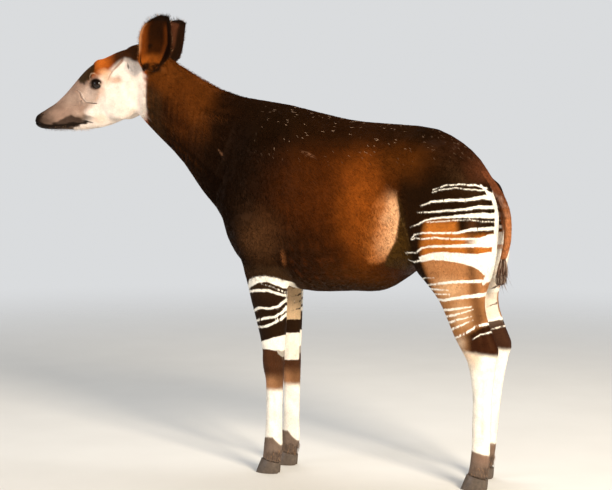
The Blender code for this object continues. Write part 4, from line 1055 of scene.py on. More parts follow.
# How the hair lies: places on the left side, and the way the hair runs there
LIE = (
    ((-1.02, 0.02, 1.44), (0.85, 0.15, 0.35)), ((-0.88, 0.05, 1.49), (0.9, 0.05, 0.3)),
    ((-0.78, 0.04, 1.65), (0.85, 0.1, 0.5)), ((-0.75, 0.06, 1.45), (0.95, 0.0, -0.1)),
    ((-0.6, 0.07, 1.52), (0.85, 0.0, -0.4)), ((-0.58, 0.0, 1.73), (1.0, 0.0, -0.05)),
    ((-0.42, 0.07, 1.5), (0.5, 0.0, -0.85)), ((-0.25, 0.06, 1.25), (0.35, 0.0, -0.9)),
    ((-0.3, 0.0, 1.57), (0.85, 0.0, -0.5)), ((-0.18, 0.1, 1.4), (0.5, 0.0, -0.85)),
    ((0.0, 0.15, 1.3), (0.4, 0.0, -0.9)), ((0.0, 0.0, 1.51), (0.97, 0.0, -0.2)),
    ((0.0, 0.15, 1.0), (0.1, 0.0, -1.0)), ((0.35, 0.21, 1.2), (0.75, 0.0, -0.65)),
    ((0.35, 0.0, 1.44), (1.0, 0.0, -0.05)), ((0.35, 0.1, 0.78), (0.95, 0.1, 0.0)),
    ((0.6, 0.2, 1.05), (0.45, 0.0, -0.9)), ((0.7, 0.1, 1.38), (0.8, 0.2, -0.5)),
    ((0.8, 0.18, 1.12), (0.35, 0.0, -0.95)), ((0.96, 0.08, 1.12), (0.15, 0.0, -1.0)),
    ((0.08, 0.1, 0.6), (0.05, 0.0, -1.0)), ((0.08, 0.1, 0.1), (0.0, 0.0, -1.0)),
    ((0.9, 0.12, 0.6), (0.12, 0.0, -1.0)), ((0.95, 0.11, 0.1), (0.0, 0.0, -1.0)),
    ((1.01, 0.0, 1.0), (0.05, 0.0, -1.0)),
)


def lie_of_hair(points, normals, ears):
    """The way the hair runs at each point, along the skin."""
    one_side = on_left(points)
    ways = np.zeros_like(points)
    for place, way in LIE:
        near = 1.0 / (((one_side - place) ** 2).sum(axis=1) + 0.002) ** 2
        ways += near[:, None] * (np.array(way) / np.linalg.norm(way))
    ways[:, 1] *= np.sign(points[:, 1])
    ways /= np.linalg.norm(ways, axis=1, keepdims=True)
    for word, side in SIDES.items():
        along, _, rearward = (np.array(axis) for axis in ear_axes(word))
        across = np.clip(ear_places(word, points)[1], -1.2, 1.2)
        fan = along[None, :] + rearward[None, :] * (0.45 * across)[:, None]
        ways = np.where((ears == side)[:, None], fan, ways)
    ways -= normals * (ways * normals).sum(axis=1, keepdims=True)
    length = np.maximum(np.linalg.norm(ways, axis=1, keepdims=True), 1e-6)
    return ways / length


def turned(ways, normals, angles):
    """The ways turned on the skin by these angles."""
    across = np.cross(normals, ways)
    return ways * np.cos(angles)[:, None] + across * np.sin(angles)[:, None]


def piece_mesh(name, points, faces, colours, places):
    """A mesh from arrays of triangles, with a colour and a place on the bake map for each point."""
    mesh = bpy.data.meshes.new(name)
    mesh.vertices.add(len(points))
    mesh.loops.add(faces.size)
    mesh.polygons.add(len(faces))
    mesh.vertices.foreach_set("co", points.ravel())
    mesh.loops.foreach_set("vertex_index", faces.ravel())
    mesh.polygons.foreach_set("loop_start", np.arange(0, faces.size, 3))
    mesh.update(calc_edges=True)
    store_colours(mesh, colours)
    layer = mesh.uv_layers.new(name="OFBake")
    layer.uv.foreach_set("vector", places[faces.ravel()].ravel())
    return mesh


def store_colours(mesh, colours):
    attribute = mesh.attributes.new("Markings", "FLOAT_COLOR", "POINT")
    whole = np.concatenate([colours, np.ones((len(colours), 1))], axis=1)
    attribute.data.foreach_set("color", whole.ravel())


TUFT_FACES = np.array([(0, 2, 3), (1, 3, 2), (0, 3, 1), (0, 1, 2)])
PATCH = 0.003
# Where along a tuft its colours are read, and how bright it is at root, ridge and tip
TUFT_COLOURS = ((0.0, 0.9), (0.35, 1.0), (0.75, 1.1))


def short_tufts(name, roots, normals, ways, length, half_width, lift, colours, places):
    """Short tufts as slim closed wedges that lie along the skin, each with its root sunk in it."""
    count = len(roots)
    across = np.cross(normals, ways)
    length, half_width, lift = (np.asarray(value)[:, None] for value in (length, half_width, lift))
    sink = normals * 0.0007
    corners = np.empty((count, 4, 3))
    corners[:, 0] = roots + across * half_width - sink
    corners[:, 1] = roots - across * half_width - sink
    corners[:, 2] = roots + ways * length * 0.3 + normals * (lift * 0.55)
    corners[:, 3] = roots + ways * length + normals * lift
    faces = (np.arange(count)[:, None, None] * 4 + TUFT_FACES).reshape(-1, 3)
    corner_places = places[:, None, :] + np.array([(0, -0.5), (0, 0.5), (0.5, 0), (1.0, 0)]) * PATCH
    corner_colours = np.stack([colours[0], colours[0], colours[1], colours[2]], axis=1)
    return piece_mesh(
        name, corners.reshape(-1, 3), faces, corner_colours.reshape(-1, 3), corner_places.reshape(-1, 2)
    )


def lock_faces(sections):
    """The triangles of one closed lock with three-sided sections and a tip."""
    faces = [(0, 1, 2)]
    for k in range(sections - 1):
        a, b = 3 * k, 3 * k + 3
        for i in range(3):
            n = (i + 1) % 3
            faces += [(a + i, b + i, b + n), (a + i, b + n, a + n)]
    last, tip = 3 * (sections - 1), 3 * sections
    faces += [(last + i, tip, last + (i + 1) % 3) for i in range(3)]
    return np.array(faces)


def long_locks(name, roots, normals, start, end, length, half_width, colours, places, sections=3):
    """Longer locks that leave the skin one way and bend over to another, each a closed tapered form."""
    count = len(roots)
    length, half_width = (np.asarray(value)[:, None] for value in (length, half_width))
    shape = np.interp(np.arange(sections) / sections, [0, 0.35, 0.7, 1.0], [0.8, 1.0, 0.75, 0.3])
    rows = np.empty((count, 3 * sections + 1, 3))
    for k in range(sections + 1):
        t = k / sections
        middle = roots + length * (start * (t - t * t / 2) + end * (t * t / 2)) - normals * 0.001 * (1 - t)
        if k == sections:
            rows[:, -1] = middle
            break
        way = start * (1 - t) + end * t
        across = np.cross(normals, way)
        across /= np.maximum(np.linalg.norm(across, axis=1, keepdims=True), 1e-6)
        up = np.cross(way, across)
        up /= np.maximum(np.linalg.norm(up, axis=1, keepdims=True), 1e-6)
        rows[:, 3 * k] = middle + across * half_width * shape[k]
        rows[:, 3 * k + 1] = middle - across * half_width * shape[k]
        rows[:, 3 * k + 2] = middle + up * half_width * shape[k] * 0.6
    faces = lock_faces(sections)
    faces = (np.arange(count)[:, None, None] * (3 * sections + 1) + faces).reshape(-1, 3)
    spread = np.array(
        [((k // 3) / sections, (k % 3) / 3 - 0.33) for k in range(3 * sections)] + [(1.0, 0.0)]
    )
    corner_places = places[:, None, :] + spread * PATCH
    return piece_mesh(
        name,
        rows.reshape(-1, 3),
        faces,
        np.repeat(colours, 3 * sections + 1, axis=0),
        corner_places.reshape(-1, 2),
    )


class Skin:
    """The finished skin as arrays, from which the coat's roots are drawn."""

    def __init__(self, obj):
        mesh = obj.data
        self.points = mesh_points(mesh)
        self.normals = mesh_normals(mesh)
        self.ears = near_ears(self.points)
        mesh.calc_loop_triangles()
        flat = np.empty(len(mesh.loop_triangles) * 3, int)
        mesh.loop_triangles.foreach_get("vertices", flat)
        self.faces = flat.reshape(-1, 3)
        corners = self.points[self.faces]
        cross = np.cross(corners[:, 1] - corners[:, 0], corners[:, 2] - corners[:, 0])
        self.areas = np.linalg.norm(cross, axis=1) / 2
        self.middles = corners.mean(axis=1)
        self.bare = bareness(self.middles)
        self.face_ears = self.ears[self.faces].max(axis=1) + self.ears[self.faces].min(axis=1)
        self.face_ears = np.sign(self.face_ears)

    def draw(self, count, weights, seed):
        """Roots spread over the skin as thickly as these weights for each face say."""
        chance = np.random.default_rng(seed)
        odds = self.areas * weights
        picks = chance.choice(len(odds), size=count, p=odds / odds.sum())
        a, b = chance.random(count), chance.random(count)
        over = a + b > 1
        a[over], b[over] = 1 - a[over], 1 - b[over]
        shares = np.stack([1 - a - b, a, b], axis=1)[:, :, None]
        roots = (self.points[self.faces[picks]] * shares).sum(axis=1)
        normals = (self.normals[self.faces[picks]] * shares).sum(axis=1)
        normals /= np.maximum(np.linalg.norm(normals, axis=1, keepdims=True), 1e-6)
        return roots, normals, self.face_ears[picks], chance


def region_tests(middles, ears):
    """Where each coat piece grows, for the middles of the skin's faces."""
    x, y, z = middles.T
    head = (beyond(middles, HEAD_PLANE) < 0) & (ears == 0)
    neck = (beyond(middles, NECK_PLANE) < 0) & ~head & (ears == 0)
    tail = tail_share(middles) > 0.5
    legs = (z < LEG_TOP) & ~tail & ~head & ((np.abs(y) > 0.045) | (z < 0.7)) & ((x < 0.2) | (x > 0.66))
    torso = ~head & ~neck & ~tail & ~legs & (ears == 0)
    return {
        "coat_head": head,
        "coat_ears": ears != 0,
        "coat_neck": neck,
        "coat_left_side": torso & (y < 0) & (x < HAUNCH_FRONT),
        "coat_right_side": torso & (y >= 0) & (x < HAUNCH_FRONT),
        "coat_left_haunch": torso & (y < 0) & (x >= HAUNCH_FRONT),
        "coat_right_haunch": torso & (y >= 0) & (x >= HAUNCH_FRONT),
        "coat_forelegs": legs & (x < BETWEEN_LEGS),
        "coat_hindlegs": legs & (x >= BETWEEN_LEGS),
        "coat_tail": tail,
    }


def on_map(places):
    """The places kept just inside the edges of the bake map."""
    return np.clip(places, 0.003, 0.997)


def unwrapped(name, points):
    """Places on an unwrap of the skin: how far along the part, and the angle about its own axis."""
    x, y, z = points.T
    if name == "coat_ears":
        places = np.zeros((len(points), 2))
        for word, side in SIDES.items():
            _, facing, rearward = (np.array(axis) for axis in ear_axes(word))
            away = points - np.array(middle_of(f"ear_{word}"))
            here = np.sign(y) == side
            round_it = np.arctan2(away @ rearward, away @ facing) / (2 * math.pi) + 0.5
            places[here, 0] = ear_places(word, points)[0][here] * 0.94 + 0.02
            places[here, 1] = (0.25 + 0.25 * side + 0.48 * round_it)[here]
        return on_map(places)
    if name in ("coat_forelegs", "coat_hindlegs"):
        middle_x = np.interp(z, [0.0, 0.4, 0.6, 0.8], [0.06, 0.08, 0.07, 0.05])
        if name == "coat_hindlegs":
            middle_x = np.interp(z, [0.0, 0.3, 0.55, 0.8], [0.93, 0.95, 0.93, 0.85])
        middle_y = np.where(y < 0, -0.1, 0.1)
        turn = np.arctan2(y - middle_y, x - middle_x) / (2 * math.pi) + 0.5
        return on_map(np.stack([z / LEG_TOP, np.where(y < 0, 0, 0.5) + 0.49 * turn], axis=1))
    if name == "coat_tail":
        turn = np.arctan2(y, x - 1.0) / (2 * math.pi) + 0.5
        return on_map(np.stack([(z - 0.76) / 0.5, turn], axis=1))
    if name == "coat_head":
        start, end = np.array((-0.47, 0.0, 1.62)), np.array((-1.05, 0.0, 1.43))
    elif name == "coat_neck":
        start, end = np.array((-0.08, 0.0, 1.27)), np.array((-0.55, 0.0, 1.62))
    else:
        start, end = np.array((-0.25, 0.0, 1.12)), np.array((1.05, 0.0, 1.05))
    way = end - start
    share = ((points - start) @ way) / (way @ way)
    axis = start + share[:, None] * way
    turn = np.arctan2(y, z - axis[:, 2]) / (2 * math.pi) + 0.5
    if "left" in name:
        turn = turn * 2
    if "right" in name:
        turn = turn * 2 - 1
    if "haunch" in name:
        share = (share - 0.65) / 0.35
    return on_map(np.stack([share, turn], axis=1))


# For each coat piece: how many tufts, their length and half width, and how far their tips stand off
COATS = {
    "coat_head": (42000, 0.0062, 0.0006, 0.0006),
    "coat_ears": (26000, 0.0075, 0.00062, 0.0008),
    "coat_neck": (38000, 0.014, 0.00105, 0.0013),
    "coat_left_side": (38000, 0.016, 0.00125, 0.0015),
    "coat_right_side": (38000, 0.016, 0.00125, 0.0015),
    "coat_left_haunch": (38000, 0.0078, 0.001, 0.0008),
    "coat_right_haunch": (38000, 0.0078, 0.001, 0.0008),
    "coat_forelegs": (34000, 0.0068, 0.0008, 0.0007),
    "coat_hindlegs": (42000, 0.0068, 0.0008, 0.0007),
    "coat_tail": (8000, 0.013, 0.0008, 0.0012),
}

# The pieces whose back carries a few specks of dust, and the share of tufts that are dusty there
DUSTY = ("coat_left_side", "coat_right_side", "coat_left_haunch", "coat_right_haunch")
DUST_SHARE = 0.01


def size_by_place(points, name):
    """How long the tufts are here beside the rest of their piece."""
    x, _, z = points.T
    size = np.ones(len(points))
    if name == "coat_head":
        size = 0.55 + 0.65 * rise(-0.95, -0.6, x)
        for eye in EYES.values():
            size *= 0.55 + 0.45 * rise(0.03, 0.055, away_from(eye, points))
    if name in ("coat_forelegs", "coat_hindlegs"):
        size = 0.8 + 0.25 * rise(0.15, 0.75, z)
    if "haunch" in name:
        size = 1.0 + 0.8 * rise(1.2, 1.3, z)
    return size


def shaded(colours, chance, spread):
    """Each tuft's colour, a little lighter or darker than its neighbours'."""
    return np.clip(colours * (1 + spread * chance.normal(size=(len(colours), 1))), 0.0, 1.0)


def build_coat(skin, settings, material):
    made = []
    tests = region_tests(skin.middles, skin.face_ears)
    for seed, (name, (count, length, half_width, lift)) in enumerate(COATS.items()):
        weights = tests[name] * (1 - skin.bare)
        if name == "coat_head":
            for eye in EYES.values():
                weights = weights * (away_from(eye, skin.middles) > eye.radius + 0.004)
        roots, normals, ears, chance = skin.draw(count, weights, 100 + seed)
        ways = lie_of_hair(roots, normals, ears)
        ways = turned(ways, normals, 0.16 * wander(roots, 0.05, 31) + chance.normal(0, 0.13, len(roots)))
        size = size_by_place(roots, name) * chance.uniform(0.75, 1.25, len(roots)) * settings.length
        reach = length * size
        light = 1 + settings.shade * chance.normal(size=(len(roots), 1))
        colours = []
        for share, brightness in TUFT_COLOURS:
            places = roots + ways * (reach * share)[:, None]
            colours.append(np.clip(markings(places, normals, ears) * light * brightness, 0, 1))
        if name in DUSTY:
            back = rise(1.24, 1.36, roots[:, 2]) * rise(-0.02, 0.1, roots[:, 0])
            dust = (chance.random(len(roots)) < DUST_SHARE) * back
            for corner in colours[1:]:
                tint(corner, dust, "#C8A88E", 0.75)
        mesh = short_tufts(
            name,
            roots,
            normals,
            ways,
            reach,
            half_width * chance.uniform(0.75, 1.25, len(roots)),
            lift * chance.uniform(0.4, 1.5, len(roots)),
            colours,
            unwrapped(name, roots),
        )
        made.append(finished(name, mesh, material))
    return made


def finished(name, mesh, material):
    obj = new_object(name, mesh)
    mesh.materials.clear()
    mesh.materials.append(material)
    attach(obj, "root")
    return obj


def add_node(tree, kind, values=None, links=None, **settings):
    """Adds one node with its settings, its sockets' values and its links from other sockets."""
    node = tree.nodes.new(kind)
    for key, value in settings.items():
        setattr(node, key, value)
    for key, value in (values or {}).items():
        node.inputs[key].default_value = value
    for key, socket in (links or {}).items():
        tree.links.new(socket, node.inputs[key])
    return node


def new_material(name):
    material = bpy.data.materials.new(name)
    material.use_nodes = True
    tree = material.node_tree
    tree.nodes.clear()
    output = tree.nodes.new("ShaderNodeOutputMaterial")
    return material, tree, output


def hair_material(name, bump, roughness):
    """Short okapi hair: dense, oily and velvety, so it is dark when seen along and glossy across."""
    material, tree, output = new_material(name)
    place = add_node(tree, "ShaderNodeTexCoord").outputs["Object"]
    marks = add_node(tree, "ShaderNodeAttribute", attribute_name="Markings").outputs["Color"]
    values = {"Scale": 420.0, "Detail": 3.0, "Roughness": 0.6}
    fine = add_node(tree, "ShaderNodeTexNoise", values, {"Vector": place}).outputs["Fac"]
    values = {"Scale": 24.0, "Detail": 3.0, "Roughness": 0.55}
    broad = add_node(tree, "ShaderNodeTexNoise", values, {"Vector": place}).outputs["Fac"]
    spreads = []
    for source, low, high in (
        (fine, 0.8, 1.2),
        (broad, 0.86, 1.14),
        (broad, roughness - 0.06, roughness + 0.08),
    ):
        values = {"From Min": 0.3, "From Max": 0.7, "To Min": low, "To Max": high}
        spreads.append(add_node(tree, "ShaderNodeMapRange", values, {"Value": source}).outputs["Result"])
    value, warmth, rough = spreads
    links = {0: value, 1: warmth}
    both = add_node(tree, "ShaderNodeMath", links=links, operation="MULTIPLY").outputs["Value"]
    links = {"Vector": marks, "Scale": both}
    colour = add_node(tree, "ShaderNodeVectorMath", links=links, operation="SCALE").outputs["Vector"]
    values = {
        "IOR": 1.38,
        "Specular IOR Level": 0.24,
        "Specular Tint": (*linear("#D29A6A"), 1.0),
        "Sheen Weight": 0.05,
        "Sheen Roughness": 0.4,
        "Sheen Tint": (*linear("#B8683A"), 1.0),
    }
    shader = add_node(
        tree, "ShaderNodeBsdfPrincipled", values, {"Base Color": colour, "Roughness": rough}
    )
    if bump:
        relief = add_node(tree, "ShaderNodeBump", {"Strength": bump, "Distance": 0.0008}, {"Height": fine})
        tree.links.new(relief.outputs["Normal"], shader.inputs["Normal"])
    tree.links.new(shader.outputs["BSDF"], output.inputs["Surface"])
    return material


def skin_material():
    """Hide under short hair, and the moist pebbled leather of nose and lips where it is bare."""
    material = hair_material("okapi_hide", 0.5, 0.5)
    tree = material.node_tree
    nodes = {node.type: node for node in tree.nodes}
    place = nodes["TEX_COORD"].outputs["Object"]
    height = nodes["BUMP"].inputs["Height"]
    rough = nodes["BSDF_PRINCIPLED"].inputs["Roughness"]
    bare = add_node(tree, "ShaderNodeAttribute", attribute_name="Bare").outputs["Fac"]
    pebbles = add_node(tree, "ShaderNodeTexVoronoi", {"Scale": 480.0}, {"Vector": place})
    links = {"Factor": bare, "A": height.links[0].from_socket, "B": pebbles.outputs["Distance"]}
    tree.links.new(add_node(tree, "ShaderNodeMix", links=links).outputs["Result"], height)
    links = {"Factor": bare, "A": rough.links[0].from_socket}
    tree.links.new(add_node(tree, "ShaderNodeMix", {"B": 0.33}, links).outputs["Result"], rough)
    return material


def finish_skin(skin, arrays):
    store_colours(skin.data, markings(arrays.points, arrays.normals, arrays.ears) * 0.92)
    attribute = skin.data.attributes.new("Bare", "FLOAT", "POINT")
    attribute.data.foreach_set("value", bareness(arrays.points))
    skin.data.materials.clear()
    skin.data.materials.append(skin_material())
    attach(skin, "root")
    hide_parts(*FLESH)


def eye_material(name):
    """Wet dark-brown eye: a wide pupil barely parts from the iris under a clear cornea."""
    material, tree, output = new_material(name)
    place = add_node(tree, "ShaderNodeTexCoord").outputs["Object"]
    values = {"Scale": 300.0, "Detail": 2.0}
    cloud = add_node(tree, "ShaderNodeTexNoise", values, {"Vector": place}).outputs["Fac"]
    values = {"A": (*linear("#0A0604"), 1.0), "B": (*linear("#1C0F08"), 1.0)}
    colour = add_node(tree, "ShaderNodeMix", values, {"Factor": cloud}, data_type="RGBA")
    values = {"Roughness": 0.12, "IOR": 1.36, "Coat Weight": 0.25, "Coat Roughness": 0.03}
    links = {"Base Color": colour.outputs["Result"]}
    shader = add_node(tree, "ShaderNodeBsdfPrincipled", values, links)
    tree.links.new(shader.outputs["BSDF"], output.inputs["Surface"])
    return material


def build_eyes():
    for word, eye in EYES.items():
        bm = bmesh.new()
        bmesh.ops.create_uvsphere(bm, u_segments=48, v_segments=32, radius=eye.radius)
        turn = eye.out.to_track_quat("Z", "Y").to_matrix().to_4x4()
        for vert in bm.verts:
            height = max(0.0, vert.co.z / eye.radius)
            vert.co.z += 0.0012 * max(0.0, (height - 0.8) / 0.2) ** 1.5
        bmesh.ops.transform(bm, matrix=Matrix.Translation(eye.centre) @ turn, verts=bm.verts[:])
        mesh = mesh_from(bm, f"eyeball_{word}")
        mesh.shade_smooth()
        obj = finished(f"eyeball_{word}", mesh, eye_material(f"wet_eye_{word}"))
        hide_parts(f"eye_{word}")


def fringe(skin, name, like, weights, count, length, half_width, ways, material, pale=0.0):
    """Longer hair that stands off the skin: it leaves one way and bends over to another."""
    roots, normals, ears, chance = skin.draw(count, weights, 70 + len(name))
    start, end = ways(roots, normals, ears)
    end = end + chance.normal(0, 0.1, end.shape)
    colours = shaded(markings(roots, normals, ears), chance, 0.18)
    tint(colours, (chance.random(count) < pale).astype(float), "#C49A74", 0.8)
    lengths = length * chance.uniform(0.6, 1.3, count)
    widths = half_width * chance.uniform(0.7, 1.3, count)
    places = unwrapped(like, roots)
    mesh = long_locks(name, roots, normals, start, end, lengths, widths, colours, places)
    finished(name, mesh, material)


def rim_ways(roots, normals, ears):
    """Out over the rim of the ear and up towards its tip."""
    out = np.zeros_like(roots)
    for word, side in SIDES.items():
        along, facing, rearward = (np.array(axis) for axis in ear_axes(word))
        share, across = ear_places(word, roots)
        upward = along * (0.5 + rise(0.7, 1.0, share))[:, None]
        fan = rearward * np.clip(across, -1, 1)[:, None] + upward + facing * 0.2
        out = np.where((ears == side)[:, None], fan, out)
    return normals * 0.3 + out, out


def down_ways(roots, normals, ears):
    """Down along the skin and a little away from it."""
    down = np.array((0.1, 0.0, -1.0))
    return down + normals * 0.35, down + normals * 0.12


def back_ways(roots, normals, ears):
    """Up from the nape and over towards the tail."""
    back = np.array((0.85, 0.0, -0.35))
    return back + normals * 0.7, back + normals * 0.2


def build_fringes(skin, material):
    """The longer hair on the rims of the ears, the nape, the chin, the elbows and over the hooves."""
    x, y, z = skin.middles.T
    rims = np.zeros(len(x))
    for word, side in SIDES.items():
        share, across = ear_places(word, skin.middles)
        edge = np.maximum(rise(0.84, 0.96, np.abs(across)), rise(0.93, 0.98, share))
        rims = np.maximum(rims, edge * (skin.face_ears == side) * (share > 0.12))
    nape = (np.abs(y) < 0.014) * (x > -0.5) * (x < -0.05) * (z > 1.48)
    chin = (z < 1.425) * (x > -0.99) * (x < -0.78) * (np.abs(y) < 0.03)
    elbows = (np.hypot(x - 0.155, z - 0.88) < 0.035) * (np.abs(y) > 0.1)
    crowns = (z < 0.1) * (z > 0.062 - 0.26 * (x - 0.06) * (x < BETWEEN_LEGS))
    fringe(skin, "fringe_ears", "coat_ears", rims, 2000, 0.0095, 0.00045, rim_ways, material, 0.1)
    fringe(skin, "fringe_nape", "coat_neck", nape, 1000, 0.013, 0.0006, back_ways, material)
    fringe(skin, "fringe_chin", "coat_head", chin, 400, 0.008, 0.0003, down_ways, material, 0.3)
    fringe(skin, "fringe_elbows", "coat_left_side", elbows, 300, 0.013, 0.0006, down_ways, material)
    fringe(skin, "fringe_coronets", "coat_forelegs", crowns, 1800, 0.015, 0.00065, down_ways, material, 0.1)


LASHES = 44


def build_lashes(material):
    """Dark lashes along the upper lids, longest in the middle."""
    for word, eye in EYES.items():
        along = np.linspace(-0.85, 0.85, LASHES)
        height = LID_UP * (1 - np.abs(along) ** 2.2) ** (1 / 1.7)
        level, up, out = (np.array(axis) for axis in (eye.level, eye.up, eye.out))
        local = np.stack([along * LID_HALF_WIDTH, height, np.zeros(LASHES)], axis=1)
        out_squared = (eye.radius + 0.003) ** 2 - local[:, 0] ** 2 - local[:, 1] ** 2
        local[:, 2] = np.sqrt(np.maximum(out_squared, 0.0))
        roots = np.array(eye.centre) + local @ np.stack([level, up, out])
        start = out + 0.1 * up + along[:, None] * level * 0.6
        end = 0.5 * out + 0.5 * up + along[:, None] * level
        lengths = 0.01 * (1 - 0.45 * np.abs(along))
        colours = np.tile(linear("#0B0705"), (LASHES, 1))
        places = np.stack([0.1 + 0.8 * (along + 1) / 2, np.full(LASHES, 0.5)], axis=1)
        normals = np.tile(out, (LASHES, 1))
        widths = np.full(LASHES, 0.0003)
        mesh = long_locks(f"lashes_{word}", roots, normals, start, end, lengths, widths, colours, places)
        finished(f"lashes_{word}", mesh, material)


def build_tail_brush(material):
    """The brush at the end of the tail: long dark locks with some pale hairs, over the bare tip."""
    chance = np.random.default_rng(55)
    count = 2200
    height = chance.uniform(0.822, 0.897, count)
    turn = chance.uniform(0, 2 * math.pi, count)
    out = np.stack([np.cos(turn), np.sin(turn), np.zeros(count)], axis=1)
    middle_x = np.interp(height, [0.8, 0.84, 0.872, 0.915], [0.997, 0.998, 1.002, 1.01])
    radius = np.interp(height, [0.8, 0.84, 0.872, 0.915], [0.003, 0.0085, 0.012, 0.0145])
    roots = np.stack([middle_x, np.zeros(count), height], axis=1) + out * radius[:, None] * 0.8
    down = np.array((-0.02, 0.0, -1.0))
    start = down + out * chance.uniform(0.15, 0.4, (count, 1))
    end = down + out * chance.uniform(-0.12, 0.16, (count, 1)) + chance.normal(0, 0.06, (count, 3))
    wisps = chance.random(count) < 0.02
    end[wisps] += np.array((0.45, 0.0, 0.15))
    length = np.minimum(chance.uniform(0.03, 0.075, count), height - 0.795) * np.where(wisps, 1.7, 1.0)
    colours = np.tile(linear("#43322A"), (count, 1))
    pale = chance.random(count)
    tint(colours, (pale < 0.18).astype(float), "#C9B7A6", 0.9)
    tint(colours, ((pale > 0.18) & (pale < 0.5)).astype(float), "#86695A", 0.9)
    colours = shaded(colours, chance, 0.15)
    places = np.stack([turn / (2 * math.pi), (height - 0.8) / 0.14], axis=1)
    widths = np.where(wisps, 0.0005, 0.0011) * chance.uniform(0.7, 1.3, count)
    mesh = long_locks(
        "tail_brush", roots, out, start, end, length, widths, colours, np.clip(places, 0.003, 0.995), 5
    )
    obj = finished("tail_brush", mesh, material)
    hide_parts("tail_tuft")


def horn_material():
    """Hoof horn: dull, dark grey-brown, grown in rings about 6 mm apart and scuffed in patches all over."""
    material, tree, output = new_material("hoof_horn")
    place = add_node(tree, "ShaderNodeTexCoord").outputs["Object"]
    values = {"Scale": 27.0, "Distortion": 1.2, "Detail": 2.0, "Detail Scale": 2.0}
    rings = add_node(tree, "ShaderNodeTexWave", values, {"Vector": place}, bands_direction="Z")
    values = {"Scale": 90.0, "Detail": 4.0}
    scuff = add_node(tree, "ShaderNodeTexNoise", values, {"Vector": place}).outputs["Fac"]
    values = {"A": (*linear("#2E2620"), 1.0), "B": (*linear("#6F6053"), 1.0)}
    colour = add_node(tree, "ShaderNodeMix", values, {"Factor": scuff}, data_type="RGBA")
    values = {"Strength": 0.4, "Distance": 0.0008}
    relief = add_node(tree, "ShaderNodeBump", values, {"Height": rings.outputs["Fac"]})
    links = {"Base Color": colour.outputs["Result"], "Normal": relief.outputs["Normal"]}
    shader = add_node(tree, "ShaderNodeBsdfPrincipled", {"Roughness": 0.45}, links)
    tree.links.new(shader.outputs["BSDF"], output.inputs["Surface"])
    return material


def build_hooves():
    material = horn_material()
    for name in HOOVES:
        bm = merged_copy(name)
        bmesh.ops.dissolve_limit(bm, angle_limit=math.radians(4), verts=bm.verts[:], edges=bm.edges[:])
        sharp = [edge for edge in bm.edges if edge.calc_face_angle(0.0) > math.radians(50)]
        bmesh.ops.bevel(
            bm,
            geom=sharp,
            offset=0.0012,
            offset_type="OFFSET",
            affect="EDGES",
            segments=2,
            profile=0.5,
            material=-1,
            clamp_overlap=True,
        )
        bmesh.ops.triangulate(bm, faces=bm.faces[:])
        mesh = mesh_from(bm, name.replace("hoof", "claw"))
        mesh.shade_smooth()
        mesh.set_sharp_from_angle(angle=math.radians(40))
        obj = finished(name.replace("hoof", "claw"), mesh, material)
        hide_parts(name)


# The camera stands where the photograph was taken from
CAMERA_AT = Vector((2.566, -6.533, 1.5))
CAMERA_WAY = Vector((-0.3409, 0.9365, -0.0819))
CAMERA_LENS = 100.88
CAMERA_SENSOR = 36.0


def build_camera():
    data = bpy.data.cameras.new("camera")
    data.lens = CAMERA_LENS
    data.sensor_width = CAMERA_SENSOR
    data.clip_end = 60.0
    camera = bpy.data.objects.new("camera", data)
    bpy.context.scene.collection.objects.link(camera)
    camera.location = CAMERA_AT
    camera.rotation_euler = CAMERA_WAY.to_track_quat("-Z", "Y").to_euler()
    bpy.context.scene.camera = camera


def area_light(name, at, towards, size, watts, hex_colour):
    data = bpy.data.lights.new(name, "AREA")
    data.shape = "RECTANGLE"
    data.size, data.size_y = size
    data.energy = watts
    data.color = linear(hex_colour)
    light = bpy.data.objects.new(name, data)
    bpy.context.scene.collection.objects.link(light)
    light.location = at
    light.rotation_euler = (Vector(towards) - Vector(at)).to_track_quat("-Z", "Y").to_euler()
    light.visible_glossy = name != "top"


def floor_material():
    """A pale, matt painted floor that melts into the backdrop a few metres away."""
    material, tree, output = new_material("pale_floor")
    place = add_node(tree, "ShaderNodeTexCoord").outputs["Object"]
    values = {"Scale": 3.0, "Detail": 2.0}
    grain = add_node(tree, "ShaderNodeTexNoise", values, {"Vector": place}).outputs["Fac"]
    values = {"A": (*linear("#DAD8D3"), 1.0), "B": (*linear("#E2E0DB"), 1.0)}
    colour = add_node(tree, "ShaderNodeMix", values, {"Factor": grain}, data_type="RGBA")
    links = {"Base Color": colour.outputs["Result"]}
    shader = add_node(tree, "ShaderNodeBsdfPrincipled", {"Roughness": 0.8}, links)
    away = add_node(tree, "ShaderNodeVectorMath", links={"Vector": place}, operation="LENGTH")
    values, links = {"From Min": 2.0, "From Max": 7.5}, {"Value": away.outputs["Value"]}
    fade = add_node(tree, "ShaderNodeMapRange", values, links, interpolation_type="SMOOTHSTEP")
    clear = add_node(tree, "ShaderNodeBsdfTransparent")
    links = {0: fade.outputs["Result"], 1: shader.outputs["BSDF"], 2: clear.outputs["BSDF"]}
    melting = add_node(tree, "ShaderNodeMixShader", links=links)
    tree.links.new(melting.outputs["Shader"], output.inputs["Surface"])
    return material


